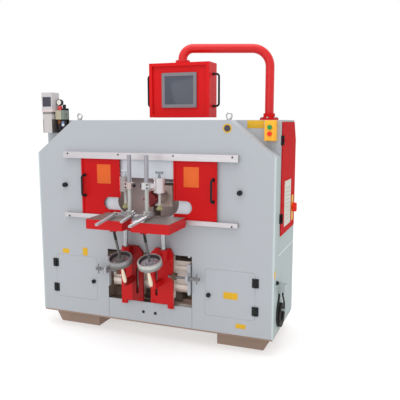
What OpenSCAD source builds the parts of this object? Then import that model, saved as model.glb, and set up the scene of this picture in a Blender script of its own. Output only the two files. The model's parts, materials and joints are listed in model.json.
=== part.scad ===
// Two-station tenoning machine: sheet-metal cabinet, sliding guards, tilting tables on cross slides,
// hold-downs and fences, a swivelling operator's pendant, and the spindle that travels inside.
// X runs to the right, Y into the machine and Z up. The origin is on the floor, in the middle of the base.

/* [Cabinet] */
// Width of the cabinet
cabinet_w = 1750; // [1650:10:1900]
// Height of the cabinet's top above the floor
cabinet_top = 1525; // [1500:5:1600]
// Height of the casing's lower edge above the floor
skirt_z = 125; // [118:1:140]
// Depth of the front casing
casing_d = 125; // [115:1:150]
// Depth of the body behind the casing
body_d = 505; // [490:5:600]
// Thickness of the sheet metal
sheet_t = 4; // [3:0.5:5]
// Width of the casing's cut top corners
chamfer_w = 300; // [270:5:310]
// Height of the casing's cut top corners
chamfer_h = 231; // [200:1:240]
// Depth of the slope at the top of the rear wall
bevel_d = 70; // [40:1:80]
// Height of the slope at the top of the rear wall
bevel_h = 140; // [100:1:150]

/* [Base] */
// Height of the feet
plinth_h = 113; // [100:1:117]
// Length of each foot
plinth_l = 392; // [340:1:420]
// Inset of each foot's outer end from the side wall, at its top
plinth_inset = 17; // [15:1:40]
// Inset of each foot's outer end from the side wall, at the floor
plinth_floor_inset = 83; // [60:1:110]
// Setback of the feet from the casing's front and the rear wall
plinth_setback = 100; // [80:1:120]
// Height of the base frame on the feet
bed_h = 102; // [95:1:110]
// Width of the base frame's members
bed_member_w = 140; // [135:1:150]
// Radius of the holes for levelling feet
level_hole_r = 8.5; // [6:0.5:12]
// Inset of the levelling holes from the side walls
level_inset = 255; // [235:1:280]
// Spacing of the levelling holes front to back
level_pitch_y = 340; // [300:5:370]

/* [Openings] */
// Width of the cutting chamber's opening
work_w = 456; // [430:2:480]
// Height of the cutting chamber's opening
work_h = 253; // [240:1:270]
// Radius of its lower corners
work_corner_r = 90; // [60:1:100]
// Width of the lower opening
pit_w = 640; // [636:2:660]
// Height of the lower opening's bottom above the floor
pit_z0 = 270; // [265:1:275]
// Height of the lower opening
pit_h = 356; // [350:1:365]

/* [Guards] */
// Width of each sliding guard
guard_w = 300; // [280:1:320]
// Distance between the guards as they stand
guard_apart = 400; // [390:2:420]
// Height of a guard between its rails
guard_h = 388; // [380:1:395]
// Thickness of a guard's plate
guard_t = 6; // [5:0.5:8]
// Length of the guard rails
rail_l = 1282; // [1270:2:1300]
// Depth of the guard rails
rail_d = 32; // [30:1:36]
// Height of the lower rail
lower_rail_h = 30; // [28:1:36]
// Height of the lower rail's top above the floor
lower_rail_top = 875; // [870:1:880]
// Height of the upper rail
upper_rail_h = 45; // [40:1:50]
// Length of the notch in each guard
notch_l = 128; // [110:1:140]
// Height of the notch in each guard
notch_h = 88; // [70:1:95]

/* [Access doors] */
// Distance of a low door's inner edge from the lower opening
access_in = 92; // [85:1:98]
// Distance of a low door's outer edge from the side wall
access_margin = 120; // [112:1:130]
// Height of a low door
access_h = 320; // [300:1:340]
// Height of a low door's lower edge above the floor
access_z0 = 235; // [225:1:250]

/* [Tables] */
// Width of each table
table_w = 262; // [255:1:270]
// Depth of each table
table_d = 270; // [265:1:285]
// Height of the table's edge
table_h = 64; // [60:1:68]
// Height of the table's top above the floor
table_z = 895; // [890:1:905]
// Gap between the two tables
table_gap = 60; // [56:1:66]
// Lean of the tilt screws from upright
lean = 20; // [18:0.5:22]
// Radius of the tilt screws
screw_r = 9; // [8:0.5:10]
// Radius of the handwheels
wheel_r = 80; // [76:1:84]
// Radius of the chrome columns
column_r = 17; // [15:0.5:20]
// Radius of the hold-down posts
post_r = 14; // [12:0.5:16]
// Height of the hold-down posts above the table
post_l = 406; // [390:1:420]
// Radius of the hold-down cylinders
ram_r = 37; // [32:1:39]

/* [Pendant] */
// Radius of the pendant arm's tube
arm_r = 30; // [26:1:34]
// Reach of the pendant arm
arm_reach = 590; // [570:5:620]
// Height of the arm's level run above the cabinet's top
arm_rise = 477; // [470:1:500]
// Turn of the arm towards the front
arm_turn = 20; // [15:1:25]
// Width of the pendant box
pendant_w = 434; // [420:1:450]
// Height of the pendant box
pendant_h = 360; // [350:1:365]
// Depth of the pendant box
pendant_d = 150; // [140:1:165]

/* [Spindle] */
// Radius of the cutter
cutter_r = 55; // [45:1:60]
// Height of the spindle's axis above the floor
spindle_z = 990; // [980:1:1000]

/* [Hidden] */
$fn = 48;

// Clearances and the overrun of cuts
over = 1;
run_fit = 0.05;
slide_fit = 0.3;

// Colours of the paints and plastics
paint_white = [0.82, 0.83, 0.85];
paint_red = [0.84, 0.13, 0.15];
paint_beige = [0.60, 0.53, 0.48];
paint_sand = [0.75, 0.71, 0.67];
plastic_black = [0.13, 0.13, 0.14];
plastic_cream = [0.90, 0.88, 0.80];
steel = [0.70, 0.71, 0.73];

// Main planes
side_x = cabinet_w / 2;
front_y = -(casing_d + body_d) / 2;
rear_y = -front_y;
body_y = front_y + casing_d;
function ahead(d) = front_y - d;
function behind(d) = front_y + d;

// Base frame
bed_z1 = plinth_h + bed_h;
bed_x = side_x - sheet_t;
bed_y0 = front_y + sheet_t;
bed_y1 = rear_y - sheet_t;
plinth_x1 = side_x - plinth_inset;
plinth_x0 = plinth_x1 - plinth_l;
plinth_floor_x1 = side_x - plinth_floor_inset;
level_pitch_x = 2 * (side_x - level_inset);
level_depth = 40;
way_h = 16;
way_w = 20;
way_reach = 320;
way_back = 250;
way_pitch = 110;
way_ys = [behind(way_back), behind(way_back + way_pitch)];
way_bed_margin = 25;
way_bed_y0 = way_ys[0] - way_bed_margin;
way_bed_y1 = way_ys[1] + way_w + way_bed_margin;

// Openings
work_sill = 10;
work_z0 = lower_rail_top + work_sill;
pit_z1 = pit_z0 + pit_h;
body_flange = 30;
panel_gap = 2;

// Guards and rails
rail_groove = guard_t + 2 * slide_fit;
groove_depth = 12;
rail_mid = ahead(rail_d / 2);
guard_z0 = lower_rail_top - groove_depth + slide_fit;
upper_rail_z0 = lower_rail_top + guard_h;
guard_z1 = upper_rail_z0 + groove_depth - slide_fit;
guard_x0 = guard_apart / 2;
guard_fold_w = 12;
guard_fold_t = 6;
fold_gap = 2;
guard_face = rail_mid - guard_t / 2;
notch_up = 81;
notch_z = lower_rail_top + notch_up;
guard_handle_inset = 13;
guard_handle_up = 200;
guard_handle_z = lower_rail_top + guard_handle_up;
guard_handle_span = 143;
handle_r = 7;
handle_bend = 18;
handle_off = 42;
handle_foot_r = 11;
handle_foot_t = 6;
bumper_x = 648;
bumper_r = 16;
bumper_t = 24;
bumper_z = lower_rail_top + guard_h / 2;

// Low access doors, their hinges and locks
access_corner_r = 22;
access_x0 = pit_w / 2 + access_in;
access_x1 = side_x - access_margin;
access_w = access_x1 - access_x0;
hinge_h = 60;
leaf_w = 22;
leaf_t = 5;
leaf_clear = 7;
knuckle_r = 6;
hinge_pin_r = 3;
pin_off = 6.5;
hinge_from_edge = 66;
access_pin_x = access_x1 + panel_gap;
access_hinge_zs = [access_z0 + hinge_from_edge, access_z0 + access_h - hinge_from_edge];
lock_inset = 26;
lock_share = 0.44;
lock_z = access_z0 + lock_share * access_h;
lock_r = 15;
lock_t = 12;
lock_stem_r = 8;
lock_stem_l = 9;
cam_l = 30;
cam_w = 14;
cam_t = 4;

// Electrical door on the right wall
edoor_front_margin = 24;
edoor_rear_margin = 26;
edoor_top_margin = 12;
edoor_h = 738;
edoor_y0 = body_y + edoor_front_margin;
edoor_y1 = rear_y - edoor_rear_margin;
edoor_z1 = cabinet_top - edoor_top_margin;
edoor_z0 = edoor_z1 - edoor_h;
edoor_t = 6;
edoor_bevel_share = 0.886;
edoor_bevel_d = bevel_d * edoor_bevel_share;
edoor_bevel_h = bevel_h * edoor_bevel_share;
edoor_pin_y = edoor_y0 - panel_gap;
edoor_pin_off = edoor_t + slide_fit + pin_off;
edoor_hinge_from_edge = 116;
edoor_hinge_zs = [edoor_z0 + edoor_hinge_from_edge, edoor_z1 - edoor_hinge_from_edge];
tray_margin = 45;
tray_d = 220;
tray_y0 = edoor_y0 + tray_margin;
tray_y1 = edoor_y1 - tray_margin;
tray_z0 = edoor_z0 + tray_margin;
tray_z1 = edoor_z1 - edoor_bevel_h - tray_margin;
vent_w = 206;
vent_h = 305;
vent_t = 10;
vent_in = 92;
vent_up = 45;
vent_y = edoor_y0 + vent_in;
vent_z = edoor_z0 + vent_up;
vent_frame = 18;
vent_slats = 9;
vent_slat_share = 0.5;
knob_in = 80;
knob_up = 140;
knob_y = edoor_y1 - knob_in;
knob_z = edoor_z0 + knob_up;
knob_r = 26;
knob_t = 14;
knob_grip_w = 14;
knob_grip_t = 20;
knob_stem_r = 6;

// Guide beam behind the lower opening
beam_up = 90;
beam_z0 = pit_z0 + beam_up;
beam_h = 219;
beam_back = 40;
beam_y0 = behind(beam_back);
beam_d = 90;
beam_leg_gap = 5;
beam_leg_x = pit_w / 2 + beam_leg_gap;
beam_leg_w = 60;
beam_x = beam_leg_x + beam_leg_w;
beam_rail_h = 24;
beam_rail_d = 18;
beam_rail_gap = 8;
beam_rail_shares = [0.2, 0.8];
function beam_rail_z(share) = beam_z0 + share * beam_h;

// Cross screws and their bearing brackets
cross_up = 128;
cross_z = beam_z0 + cross_up;
cross_out = 45;
cross_y = ahead(cross_out);
cross_r = 9;
cross_x0 = 168;
cross_collar_r = 14;
cross_collar_t = 8;
bearing_t = 16;
bearing_in = 6;
bearing_x0 = pit_w / 2 - bearing_in - bearing_t;
bearing_x1 = bearing_x0 + bearing_t;
beam_rail_reach = bearing_x0 - beam_rail_gap;
bearing_nose_h = 52;
bearing_nose_d = 20;
bearing_margin = 5;
cross_knob_out = 38;
cross_knob_x = bearing_x1 + cross_knob_out;
cross_knob_l = 36;
cross_knob_r = 13;
tommy_r = 4.5;
tommy_l = 70;

// Carriages
saddle_x0 = 45;
saddle_w = 140;
saddle_back = 8;
saddle_front = behind(saddle_back);
saddle_play = 2;
saddle_drop = 40;
saddle_z0 = beam_z0 - saddle_drop;
saddle_top_gap = 11;
saddle_z1 = pit_z1 - saddle_top_gap;
web_t = 15;
plate_x0 = 30;
plate_w = 165;
plate_out = 35;
plate_y0 = ahead(plate_out);
plate_t = 20;
plate_drop = 13;
plate_z0 = pit_z0 - plate_drop;
plate_rise = 47;
plate_z1 = pit_z1 + plate_rise;
plate_cut = 40;
slot_x = 72;
slot_w = 20;
slot_up = 67;
slot_z0 = pit_z0 + slot_up;
slot_l = 183;
foot_w = 40;
foot_h = 28;
nut_l = 27;
nut_cover = 15;
nut_y0 = cross_y - nut_cover;
nut_h = 40;
column_x = 140;
column_out = 62;
column_y = ahead(column_out);
boss_r = 30;
boss_h = 73;
socket_floor = 15;
arm_w = 34;
arm_up = 155;
arm_z0 = pit_z0 + arm_up;
arm_h = 34;

// Tables, their pivots and tilt screws
table_x0 = table_gap / 2;
table_x1 = table_x0 + table_w;
table_out = 40;
table_y1 = ahead(table_out);
table_y0 = table_y1 - table_d;
table_z0 = table_z - table_h;
table_plate_t = 22;
table_skirt_t = 14;
table_rib_t = 10;
pivot_y = column_y;
pivot_drop = 95;
pivot_z = table_z - pivot_drop;
pivot_r = 10;
barrel_r = 18;
barrel_l = 44;
lug_t = 14;
screw_x = 107;
pin_r = 6;
pin_in = 29;
pin_drop = 60;
pin_y = table_y0 + pin_in;
pin_z = table_z - pin_drop;
pin_play = 1.3;
slot_run = 26;
slot_ear = 10;
ear_t = 8;
ear_drop = 16;
head_cover = 1;
head_w = 2 * (screw_r + head_cover);
head_r = 12;
wheel_drop = 214;
wheel_y = pin_y + wheel_drop * sin(lean);
wheel_z = pin_z - wheel_drop * cos(lean);
rim_h = 46;
rim_t = 14;
rim_chamfer = 4;
web_disc_t = 8;
web_disc_z = -30;
hub_r = 26;
hub_z0 = -40;
hub_z1 = -8;
web_hole_r = 12;
web_hole_at = 46;
web_holes = 4;
grip_l = 104;
grip_r = 13;
grip_neck_r = 9;
grip_neck_l = 12;
grip_swell_share = 0.55;
grip_round_share = 0.85;
left_grip_turn = -123;
right_grip_turn = -75;
screw_below = 60;
housing_r = 16;
housing_l = (wheel_z - arm_z0) / cos(lean);
housing_y = wheel_y + (wheel_z - arm_z0 - arm_h / 2) * tan(lean);

// Hold-downs, press pads and fences
post_x = 62;
post_out = 140;
post_y = ahead(post_out);
post_base_r = 26;
post_base_t = 12;
clamp_up = 208;
clamp_z = table_z + clamp_up;
clamp_w = 48;
clamp_h = 42;
clamp_arm_w = 26;
ram_x = 125;
ram_out = 80;
ram_y = ahead(ram_out);
ram_up = 161;
ram_z0 = table_z + ram_up;
ram_l = 95;
ram_cap_t = 14;
ram_cap_over = 2;
port_r = 7;
port_h = 26;
rod_r = 8;
rod_in = 54;
rod_room = 8;
pad_up = 47;
pad_z = table_z + pad_up;
pad_h = 33;
pad_r = 22;
pad_neck_r = 12;
pad_rim_share = 0.25;
pad_neck_share = 0.7;
fence_z = table_z + post_base_t + slide_fit;
fence_clamp_r = 27;
fence_clamp_h = 26;
fence_bar_w = 18;
fence_bar_h = 13;
fence_off = 24;
fence_back = 58;
fence_front = 395;
fence_short_front = 290;
fence_apart = 121;
left_fence_turn = 13;
right_fence_turn = 8;

// Pendant
pendant_base_in = 146;
pendant_base_x = side_x - pendant_base_in;
pendant_base_back = 411;
pendant_base_y = behind(pendant_base_back);
flange_r = 64;
flange_t = 14;
collar_r = 40;
collar_h = 46;
arm_wall = 4;
arm_bend = 120;
arm_end_bend = 72;
arm_flange_r = 48;
arm_flange_t = 10;
pendant_up = 18;
pendant_z0 = cabinet_top + pendant_up;
pendant_x = pendant_base_x - arm_reach * cos(arm_turn);
pendant_y = pendant_base_y - arm_reach * sin(arm_turn);
pendant_wall = 3;
pendant_border = 22;
pendant_recess = 14;
pendant_cable_r = 18;
arm_z = cabinet_top + arm_rise;
screen_w = 250;
screen_h = 230;
screen_t = 12;
screen_bezel = 22;
screen_dip = 2;
screen_corner_r = 8;
pendant_handle_span = 210;

// Switch box with its two buttons
switch_in = 60;
switch_x = side_x - switch_in;
switch_w = 70;
switch_h = 128;
switch_d = 58;
switch_drop = 2;
switch_lip = 5;
button_r = 14;
button_out = 12;
button_room = 5;
button_in = 16;
button_shares = [0.34, 0.66];

// Lubrication pump and air unit on the body's left shoulder
lube_in = 65;
lube_x = side_x - lube_in;
lube_w = 86;
lube_d = 90;
lube_y0 = body_y - lube_d;
tank_w = 76;
tank_drop = 90;
tank_z0 = cabinet_top - tank_drop;
tank_h = 150;
lube_flange_w = 92;
lube_flange_t = 14;
lube_h = 122;
lube_panel_inset = 7;
lube_panel_up = 22;
lube_panel_h = 69;
lube_panel_dip = 2;
air_in = 150.5;
air_x = side_x - air_in;
air_w = 75;
air_plate_t = 6;
air_plate_drop = 62;
air_plate_z0 = cabinet_top - air_plate_drop;
air_plate_h = 147;
air_block_up = 6;
air_block_z0 = cabinet_top + air_block_up;
air_block_h = 65;
air_block_d = 54;
bowl_r = 17;
bowl_l = 80;
bowl_apart = 36;
bowl_tip_r = 8;
bowl_tip_l = 12;
gauge_r = 22;
gauge_t = 26;
gauge_in = 13.5;
gauge_x = air_x + gauge_in;
gauge_up = 56;
gauge_z = air_block_z0 + air_block_h + gauge_up;
gauge_stem_r = 7;
inlet_r = 6.6;
inlet_depth = 14;
reg_out = 23;
reg_x = air_x - reg_out;
reg_knob_r = 12;
reg_knob_h = 40;
reg_stem_r = 6;
reg_stem_h = 14;

// Lifting eyes on the casing's top
eye_in = 322;
eye_x = side_x - eye_in;
eye_back = 60;
eye_y = behind(eye_back);
eye_r = 18;
eye_wire_r = 5;
eye_base_r = 16;
eye_base_h = 8;

// Rear panel with the dust outlet
rear_open_w = 900;
rear_open_z0 = 320;
rear_open_h = 860;
rear_lap = 40;
outlet_r = 60;
outlet_wall = 3;
outlet_l = 60;
outlet_z = 460;
louvre_rows = 6;
louvre_w = 240;
louvre_h = 10;
louvre_pitch = 34;
louvre_z = 900;
louvre_x = 170;

// Spindle slide, head and cutter
slide_w = 300;
slide_margin = 15;
slide_y0 = way_ys[0] - slide_margin;
slide_y1 = way_ys[1] + way_w + slide_margin;
slide_base_t = 44;
slide_lift = 4;
upright_x0 = 80;
upright_w = 60;
upright_y0 = slide_y0 + slide_margin;
upright_y1 = slide_y1 - slide_margin;
upright_over = 160;
upright_top = spindle_z + upright_over;
bridge_h = 40;
head_h = 150;
nose_r = 46;
nose_back = 100;
nose_y0 = behind(nose_back);
motor_r = 62;
motor_l = 145;
motor_y1 = slide_y1 + motor_l;
motor_fins = 7;
motor_fin_w = 8;
motor_fin_h = 5;
shaft_r = 15;
cutter_back = 40;
cutter_y0 = behind(cutter_back);
cutter_t = 55;
knives = 4;
knife_w = 16;
knife_t = 6;
knife_out = 4;
cutter_hub_r = 38;

// Cable coil on the right wall, with its two leads and gland box
cable_r = 6;
coil_turns = 2.75;
coil_step = 12.8;
coil_r_in = 46.8;
coil_layer = 13;
coil_back = 175;
coil_y = behind(coil_back);
coil_z = 240;
coil_x = side_x + cable_r + slide_fit;
coil_sides = 6;
coil_rings = 24;
cable_straight = 12;
coil_climb_share = 0.5;
lead_sides = 8;
gland_z0 = 406;
gland_h = 40;
gland_w = 92;
gland_d = 46;
gland_nut_r = 10;
gland_nut_h = 16;
lead_y = 24;
peg_r = 8;
peg_l = 40;
peg_head_r = 12;
peg_head_t = 5;
// Routes of the two leads, from the coil up to the gland, in across and up from the coil's middle
lead_route = [[82, 12], [82, 26], [80, 44], [72, 66], [58, 86], [42, 104], [30, 122], [24, 138], [24, 150]];

// Shared shapes
module block(lo, hi) translate(lo) cube(hi - lo);
module rod_x(r, x0, x1, y, z) translate([x0, y, z]) rotate([0, 90, 0]) cylinder(r = r, h = x1 - x0);
module rod_y(r, y0, y1, x, z) translate([x, y1, z]) rotate([90, 0, 0]) cylinder(r = r, h = y1 - y0);
module rod_z(r, z0, z1, x, y) translate([x, y, z0]) cylinder(r = r, h = z1 - z0);
module along_x(x0, x1) translate([x0, 0, 0]) rotate([90, 0, 90]) linear_extrude(x1 - x0) children();
module along_y(y0, y1) translate([0, y1, 0]) rotate([90, 0, 0]) linear_extrude(y1 - y0) children();

module both_sides() {
    children();
    mirror([1, 0, 0]) children();
}

// The left station is the right one mirrored
module on_side(s) {
    if (s < 0) mirror([1, 0, 0]) children();
    else children();
}

module rounded_rect(w, h, r) {
    square([w - 2 * r, h], center = true);
    square([w, h - 2 * r], center = true);
    for (x = [-1, 1], y = [-1, 1]) translate([x * (w / 2 - r), y * (h / 2 - r)]) circle(r);
}

// Front outline of the casing, drawn in by t, with its lower edge at z0
function casing_outline(t, z0) =
    let (l = norm([chamfer_w, chamfer_h]),
         x = side_x - t,
         z = cabinet_top - t,
         zc = cabinet_top - chamfer_h - t * (l - chamfer_h) / chamfer_w,
         xc = side_x - chamfer_w - t * (l - chamfer_w) / chamfer_h)
    [[-x, z0], [x, z0], [x, zc], [xc, z], [-xc, z], [-x, zc]];

// Side outline with a slope at the rear top corner, drawn in by t
function sloped_outline(y0, y1, z0, z1, d, h, t) =
    let (l = norm([d, h]))
    [[y0 + t, z0], [y1 - t, z0], [y1 - t, z1 - h - t * (l - h) / d], [y1 - d - t * (l - d) / h, z1 - t],
     [y0 + t, z1 - t]];

// A bail handle: bar along Z, standing off towards -Y from a face at y = 0
module bail(span) {
    bar = span / 2 - handle_bend;
    rod_z(handle_r, -bar, bar, 0, -handle_off);
    for (s = [0, 1]) mirror([0, 0, s]) {
        translate([0, handle_bend - handle_off, bar]) rotate(a = 180, v = [1, 0, 1])
            rotate_extrude(angle = 90) translate([handle_bend, 0]) circle(handle_r);
        rod_y(handle_r, handle_bend - handle_off, 0, 0, span / 2);
        rod_y(handle_foot_r, -handle_foot_t, 0, 0, span / 2);
    }
}

// Hinge with its pin along Z at the origin; the frame's leaf lies at +X on a surface at y = seat
module hinge_frame_half(seat) {
    third = hinge_h / 3;
    block([leaf_clear, seat - leaf_t, -hinge_h / 2], [leaf_w, seat, hinge_h / 2]);
    for (s = [0, 1]) mirror([0, 0, s]) {
        rod_z(knuckle_r, third / 2, hinge_h / 2, 0, 0);
        block([0, 0, third / 2], [leaf_clear, seat, hinge_h / 2]);
    }
    rod_z(hinge_pin_r, -hinge_h / 2, hinge_h / 2, 0, 0);
}

// The door's half of the same hinge, with its leaf at -X
module hinge_door_half(seat) {
    top = hinge_h / 6 - slide_fit;
    difference() {
        union() {
            block([-leaf_w, seat - leaf_t, -hinge_h / 2], [-leaf_clear, seat, hinge_h / 2]);
            block([-leaf_clear, seat - leaf_t, -top], [0, seat, top]);
            rod_z(knuckle_r, -top, top, 0, 0);
        }
        rod_z(hinge_pin_r + run_fit, -hinge_h, hinge_h, 0, 0);
    }
}

// A tube swept along points with straight ends, as one closed polyhedron
function unit(v) = v / norm(v);
function tangent(p, i) = unit(p[min(i + 1, len(p) - 1)] - p[max(i - 1, 0)]);
function ring(c, t, r, n) =
    let (u = unit(cross(t, [1, 0, 0])), v = cross(t, u))
    [for (k = [0:n - 1]) c + r * (cos(360 * k / n) * u + sin(360 * k / n) * v)];
module tube(p, r, n) {
    last = len(p) - 1;
    points = [for (i = [0:last]) each ring(p[i], tangent(p, i), r, n)];
    walls = [for (i = [0:last - 1], k = [0:n - 1])
        let (a = i * n + k, b = i * n + (k + 1) % n)
        each [[a, b, a + n], [b, b + n, a + n]]];
    ends = [for (k = [1:n - 2]) each [[0, k + 1, k], [last * n, last * n + k, last * n + k + 1]]];
    polyhedron(points, concat(walls, ends));
}

module base_frame() {
    color(paint_beige) difference() {
        union() {
            block([-bed_x, bed_y0, plinth_h], [bed_x, bed_y0 + bed_member_w, bed_z1]);
            block([-bed_x, bed_y1 - bed_member_w, plinth_h], [bed_x, bed_y1, bed_z1]);
            block([-bed_x, way_bed_y0, plinth_h], [bed_x, way_bed_y1, bed_z1]);
            both_sides() block([bed_x - bed_member_w, bed_y0, plinth_h], [bed_x, bed_y1, bed_z1]);
            for (y = way_ys) block([-way_reach, y, bed_z1], [way_reach, y + way_w, bed_z1 + way_h]);
            both_sides() along_y(front_y + plinth_setback, rear_y - plinth_setback)
                polygon([[plinth_x0, 0], [plinth_floor_x1, 0],
                         [plinth_x1, plinth_h], [plinth_x0, plinth_h]]);
        }
        for (x = [-1, 1], y = [-1, 1])
            rod_z(level_hole_r, -over, level_depth, x * level_pitch_x / 2, y * level_pitch_y / 2);
    }
}

module work_outline() {
    r = work_corner_r;
    translate([-work_w / 2, work_z0 + r]) square([work_w, work_h - r]);
    translate([r - work_w / 2, work_z0]) square([work_w - 2 * r, r + over]);
    for (s = [-1, 1]) translate([s * (work_w / 2 - r), work_z0 + r]) circle(r);
}

module access_outline(inset) {
    translate([access_x0 + access_w / 2, access_z0 + access_h / 2])
        rounded_rect(access_w - 2 * inset, access_h - 2 * inset, access_corner_r - inset);
}

module front_casing() {
    color(paint_white) difference() {
        along_y(front_y, body_y) polygon(casing_outline(0, skirt_z));
        along_y(front_y + sheet_t, body_y + over) polygon(casing_outline(sheet_t, skirt_z - over));
        along_y(front_y - over, front_y + sheet_t + over) work_outline();
        block([-pit_w / 2, front_y - over, skirt_z - over], [pit_w / 2, front_y + sheet_t + over, pit_z1]);
        both_sides() along_y(front_y - over, front_y + sheet_t + over) access_outline(0);
    }
}

module body_shell() {
    color(paint_white) difference() {
        union() {
            difference() {
                along_x(-side_x, side_x)
                    polygon(sloped_outline(body_y, rear_y, skirt_z, cabinet_top, bevel_d, bevel_h, 0));
                along_x(sheet_t - side_x, side_x - sheet_t) polygon(
                    sloped_outline(body_y, rear_y, skirt_z - over, cabinet_top, bevel_d, bevel_h, sheet_t));
            }
            block([side_x - tray_d, tray_y0 - sheet_t, tray_z0 - sheet_t],
                  [side_x - sheet_t, tray_y1 + sheet_t, tray_z1 + sheet_t]);
        }
        along_y(body_y - over, body_y + sheet_t + over)
            polygon(casing_outline(body_flange, skirt_z - over));
        block([-bed_x, body_y - over, skirt_z - over], [bed_x, body_y + sheet_t + over, bed_z1]);
        block([side_x - tray_d + sheet_t, tray_y0, tray_z0], [side_x + over, tray_y1, tray_z1]);
        block([-rear_open_w / 2, rear_y - sheet_t - over, rear_open_z0],
              [rear_open_w / 2, rear_y + over, rear_open_z0 + rear_open_h]);
    }
}

module rear_panel() {
    x = rear_open_w / 2 + rear_lap;
    color(paint_white) difference() {
        union() {
            block([-x, rear_y, rear_open_z0 - rear_lap],
                  [x, rear_y + sheet_t, rear_open_z0 + rear_open_h + rear_lap]);
            rod_y(outlet_r, rear_y, rear_y + sheet_t + outlet_l, 0, outlet_z);
        }
        rod_y(outlet_r - outlet_wall, rear_y - over, rear_y + sheet_t + outlet_l + over, 0, outlet_z);
        for (i = [0:louvre_rows - 1], s = [-1, 1])
            translate([s * louvre_x - louvre_w / 2, rear_y - over, louvre_z + i * louvre_pitch])
                cube([louvre_w, sheet_t + 2 * over, louvre_h]);
    }
}

module skirt_panel() {
    x = pit_w / 2 - panel_gap;
    color(paint_white) {
        block([-x, front_y, skirt_z], [x, front_y + sheet_t, pit_z0]);
        block([-x, front_y + sheet_t, pit_z0 - sheet_t], [x, bed_y0 + pit_z0 - bed_z1 - sheet_t, pit_z0]);
    }
}

module lifting_eyes() {
    color(steel) both_sides() translate([eye_x, eye_y, cabinet_top]) {
        cylinder(r = eye_base_r, h = eye_base_h);
        translate([0, 0, eye_base_h + eye_r]) rotate([90, 0, 0])
            rotate_extrude() translate([eye_r, 0]) circle(eye_wire_r);
    }
}

module guard_rails() {
    color(steel) {
        difference() {
            block([-rail_l / 2, ahead(rail_d), lower_rail_top - lower_rail_h],
                  [rail_l / 2, front_y, lower_rail_top]);
            block([-rail_l, rail_mid - rail_groove / 2, lower_rail_top - groove_depth],
                  [rail_l, rail_mid + rail_groove / 2, lower_rail_top + over]);
        }
        difference() {
            block([-rail_l / 2, ahead(rail_d), upper_rail_z0],
                  [rail_l / 2, front_y, upper_rail_z0 + upper_rail_h]);
            block([-rail_l, rail_mid - rail_groove / 2, upper_rail_z0 - over],
                  [rail_l, rail_mid + rail_groove / 2, upper_rail_z0 + groove_depth]);
        }
    }
}

module door_bumpers() {
    color(plastic_black) both_sides() rod_y(bumper_r, ahead(bumper_t), front_y, bumper_x, bumper_z);
}

module cabinet_hinges() {
    color(plastic_black) {
        both_sides() for (z = access_hinge_zs)
            translate([access_pin_x, ahead(pin_off), z]) hinge_frame_half(pin_off);
        for (z = edoor_hinge_zs)
            translate([side_x + edoor_pin_off, edoor_pin_y, z]) rotate([0, 0, 90]) mirror([1, 0, 0])
                hinge_frame_half(edoor_pin_off);
    }
}

// Right sliding guard; the left one is its mirror image
module guard_door() {
    x1 = guard_x0 + guard_w;
    r = notch_h / 2;
    color(paint_red) difference() {
        union() {
            block([guard_x0, guard_face, guard_z0], [x1, guard_face + guard_t, guard_z1]);
            for (x = [guard_x0, x1 - guard_fold_w])
                block([x, guard_face - guard_fold_t, lower_rail_top + fold_gap],
                      [x + guard_fold_w, guard_face, upper_rail_z0 - fold_gap]);
        }
        along_y(guard_face - guard_fold_t - over, guard_face + guard_t + over) {
            translate([guard_x0 - over, notch_z - r]) square([notch_l - r + over, notch_h]);
            translate([guard_x0 + notch_l - r, notch_z]) circle(r);
        }
    }
}

module guard_handle() {
    color(plastic_black)
        translate([guard_x0 + guard_w - guard_handle_inset - guard_fold_w, guard_face, guard_handle_z])
            bail(guard_handle_span);
}

// Right low access door with its half of each hinge
module access_door() {
    color(paint_white) difference() {
        union() {
            along_y(front_y, front_y + sheet_t) access_outline(panel_gap / 2);
            for (z = access_hinge_zs)
                translate([access_pin_x, ahead(pin_off), z]) hinge_door_half(pin_off);
        }
        rod_y(lock_stem_r + run_fit, front_y - over, front_y + sheet_t + over,
              access_x0 + lock_inset, lock_z);
    }
}

// Quarter-turn lock: knob, stem through the door and cam behind it
module access_lock() {
    x = access_x0 + lock_inset;
    y = front_y + lock_stem_l;
    color(plastic_black) {
        difference() {
            rod_y(lock_r, ahead(lock_t), ahead(slide_fit), x, lock_z);
            block([x - lock_r, ahead(lock_t) - over, lock_z - over],
                  [x + lock_r, ahead(lock_t) + over, lock_z + over]);
        }
        rod_y(lock_stem_r, ahead(slide_fit), y, x, lock_z);
        block([x - cam_w / 2, y - cam_t, lock_z - cam_w / 2], [x + cam_w / 2, y, lock_z + cam_l]);
    }
}

module electrical_door() {
    x0 = side_x + slide_fit;
    x1 = x0 + edoor_t;
    color(paint_red) difference() {
        union() {
            along_x(x0, x1) polygon(
                sloped_outline(edoor_y0, edoor_y1, edoor_z0, edoor_z1, edoor_bevel_d, edoor_bevel_h, 0));
            for (z = edoor_hinge_zs)
                translate([side_x + edoor_pin_off, edoor_pin_y, z]) rotate([0, 0, 90]) mirror([1, 0, 0])
                    hinge_door_half(pin_off);
        }
        block([x0 - over, vent_y + vent_frame, vent_z + vent_frame],
              [x1 + over, vent_y + vent_w - vent_frame, vent_z + vent_h - vent_frame]);
        rod_x(knob_stem_r + run_fit, x0 - over, x1 + over, knob_y, knob_z);
    }
}

module vent_cover() {
    x = side_x + slide_fit + edoor_t;
    pitch = (vent_h - 2 * vent_frame) / vent_slats;
    gap = pitch * vent_slat_share;
    color([0.86, 0.87, 0.86]) difference() {
        block([x, vent_y, vent_z], [x + vent_t, vent_y + vent_w, vent_z + vent_h]);
        for (i = [0:vent_slats - 1])
            translate([x - over, vent_y + vent_frame, vent_z + vent_frame + i * pitch + gap / 2])
                cube([vent_t + 2 * over, vent_w - 2 * vent_frame, gap]);
    }
}

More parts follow.
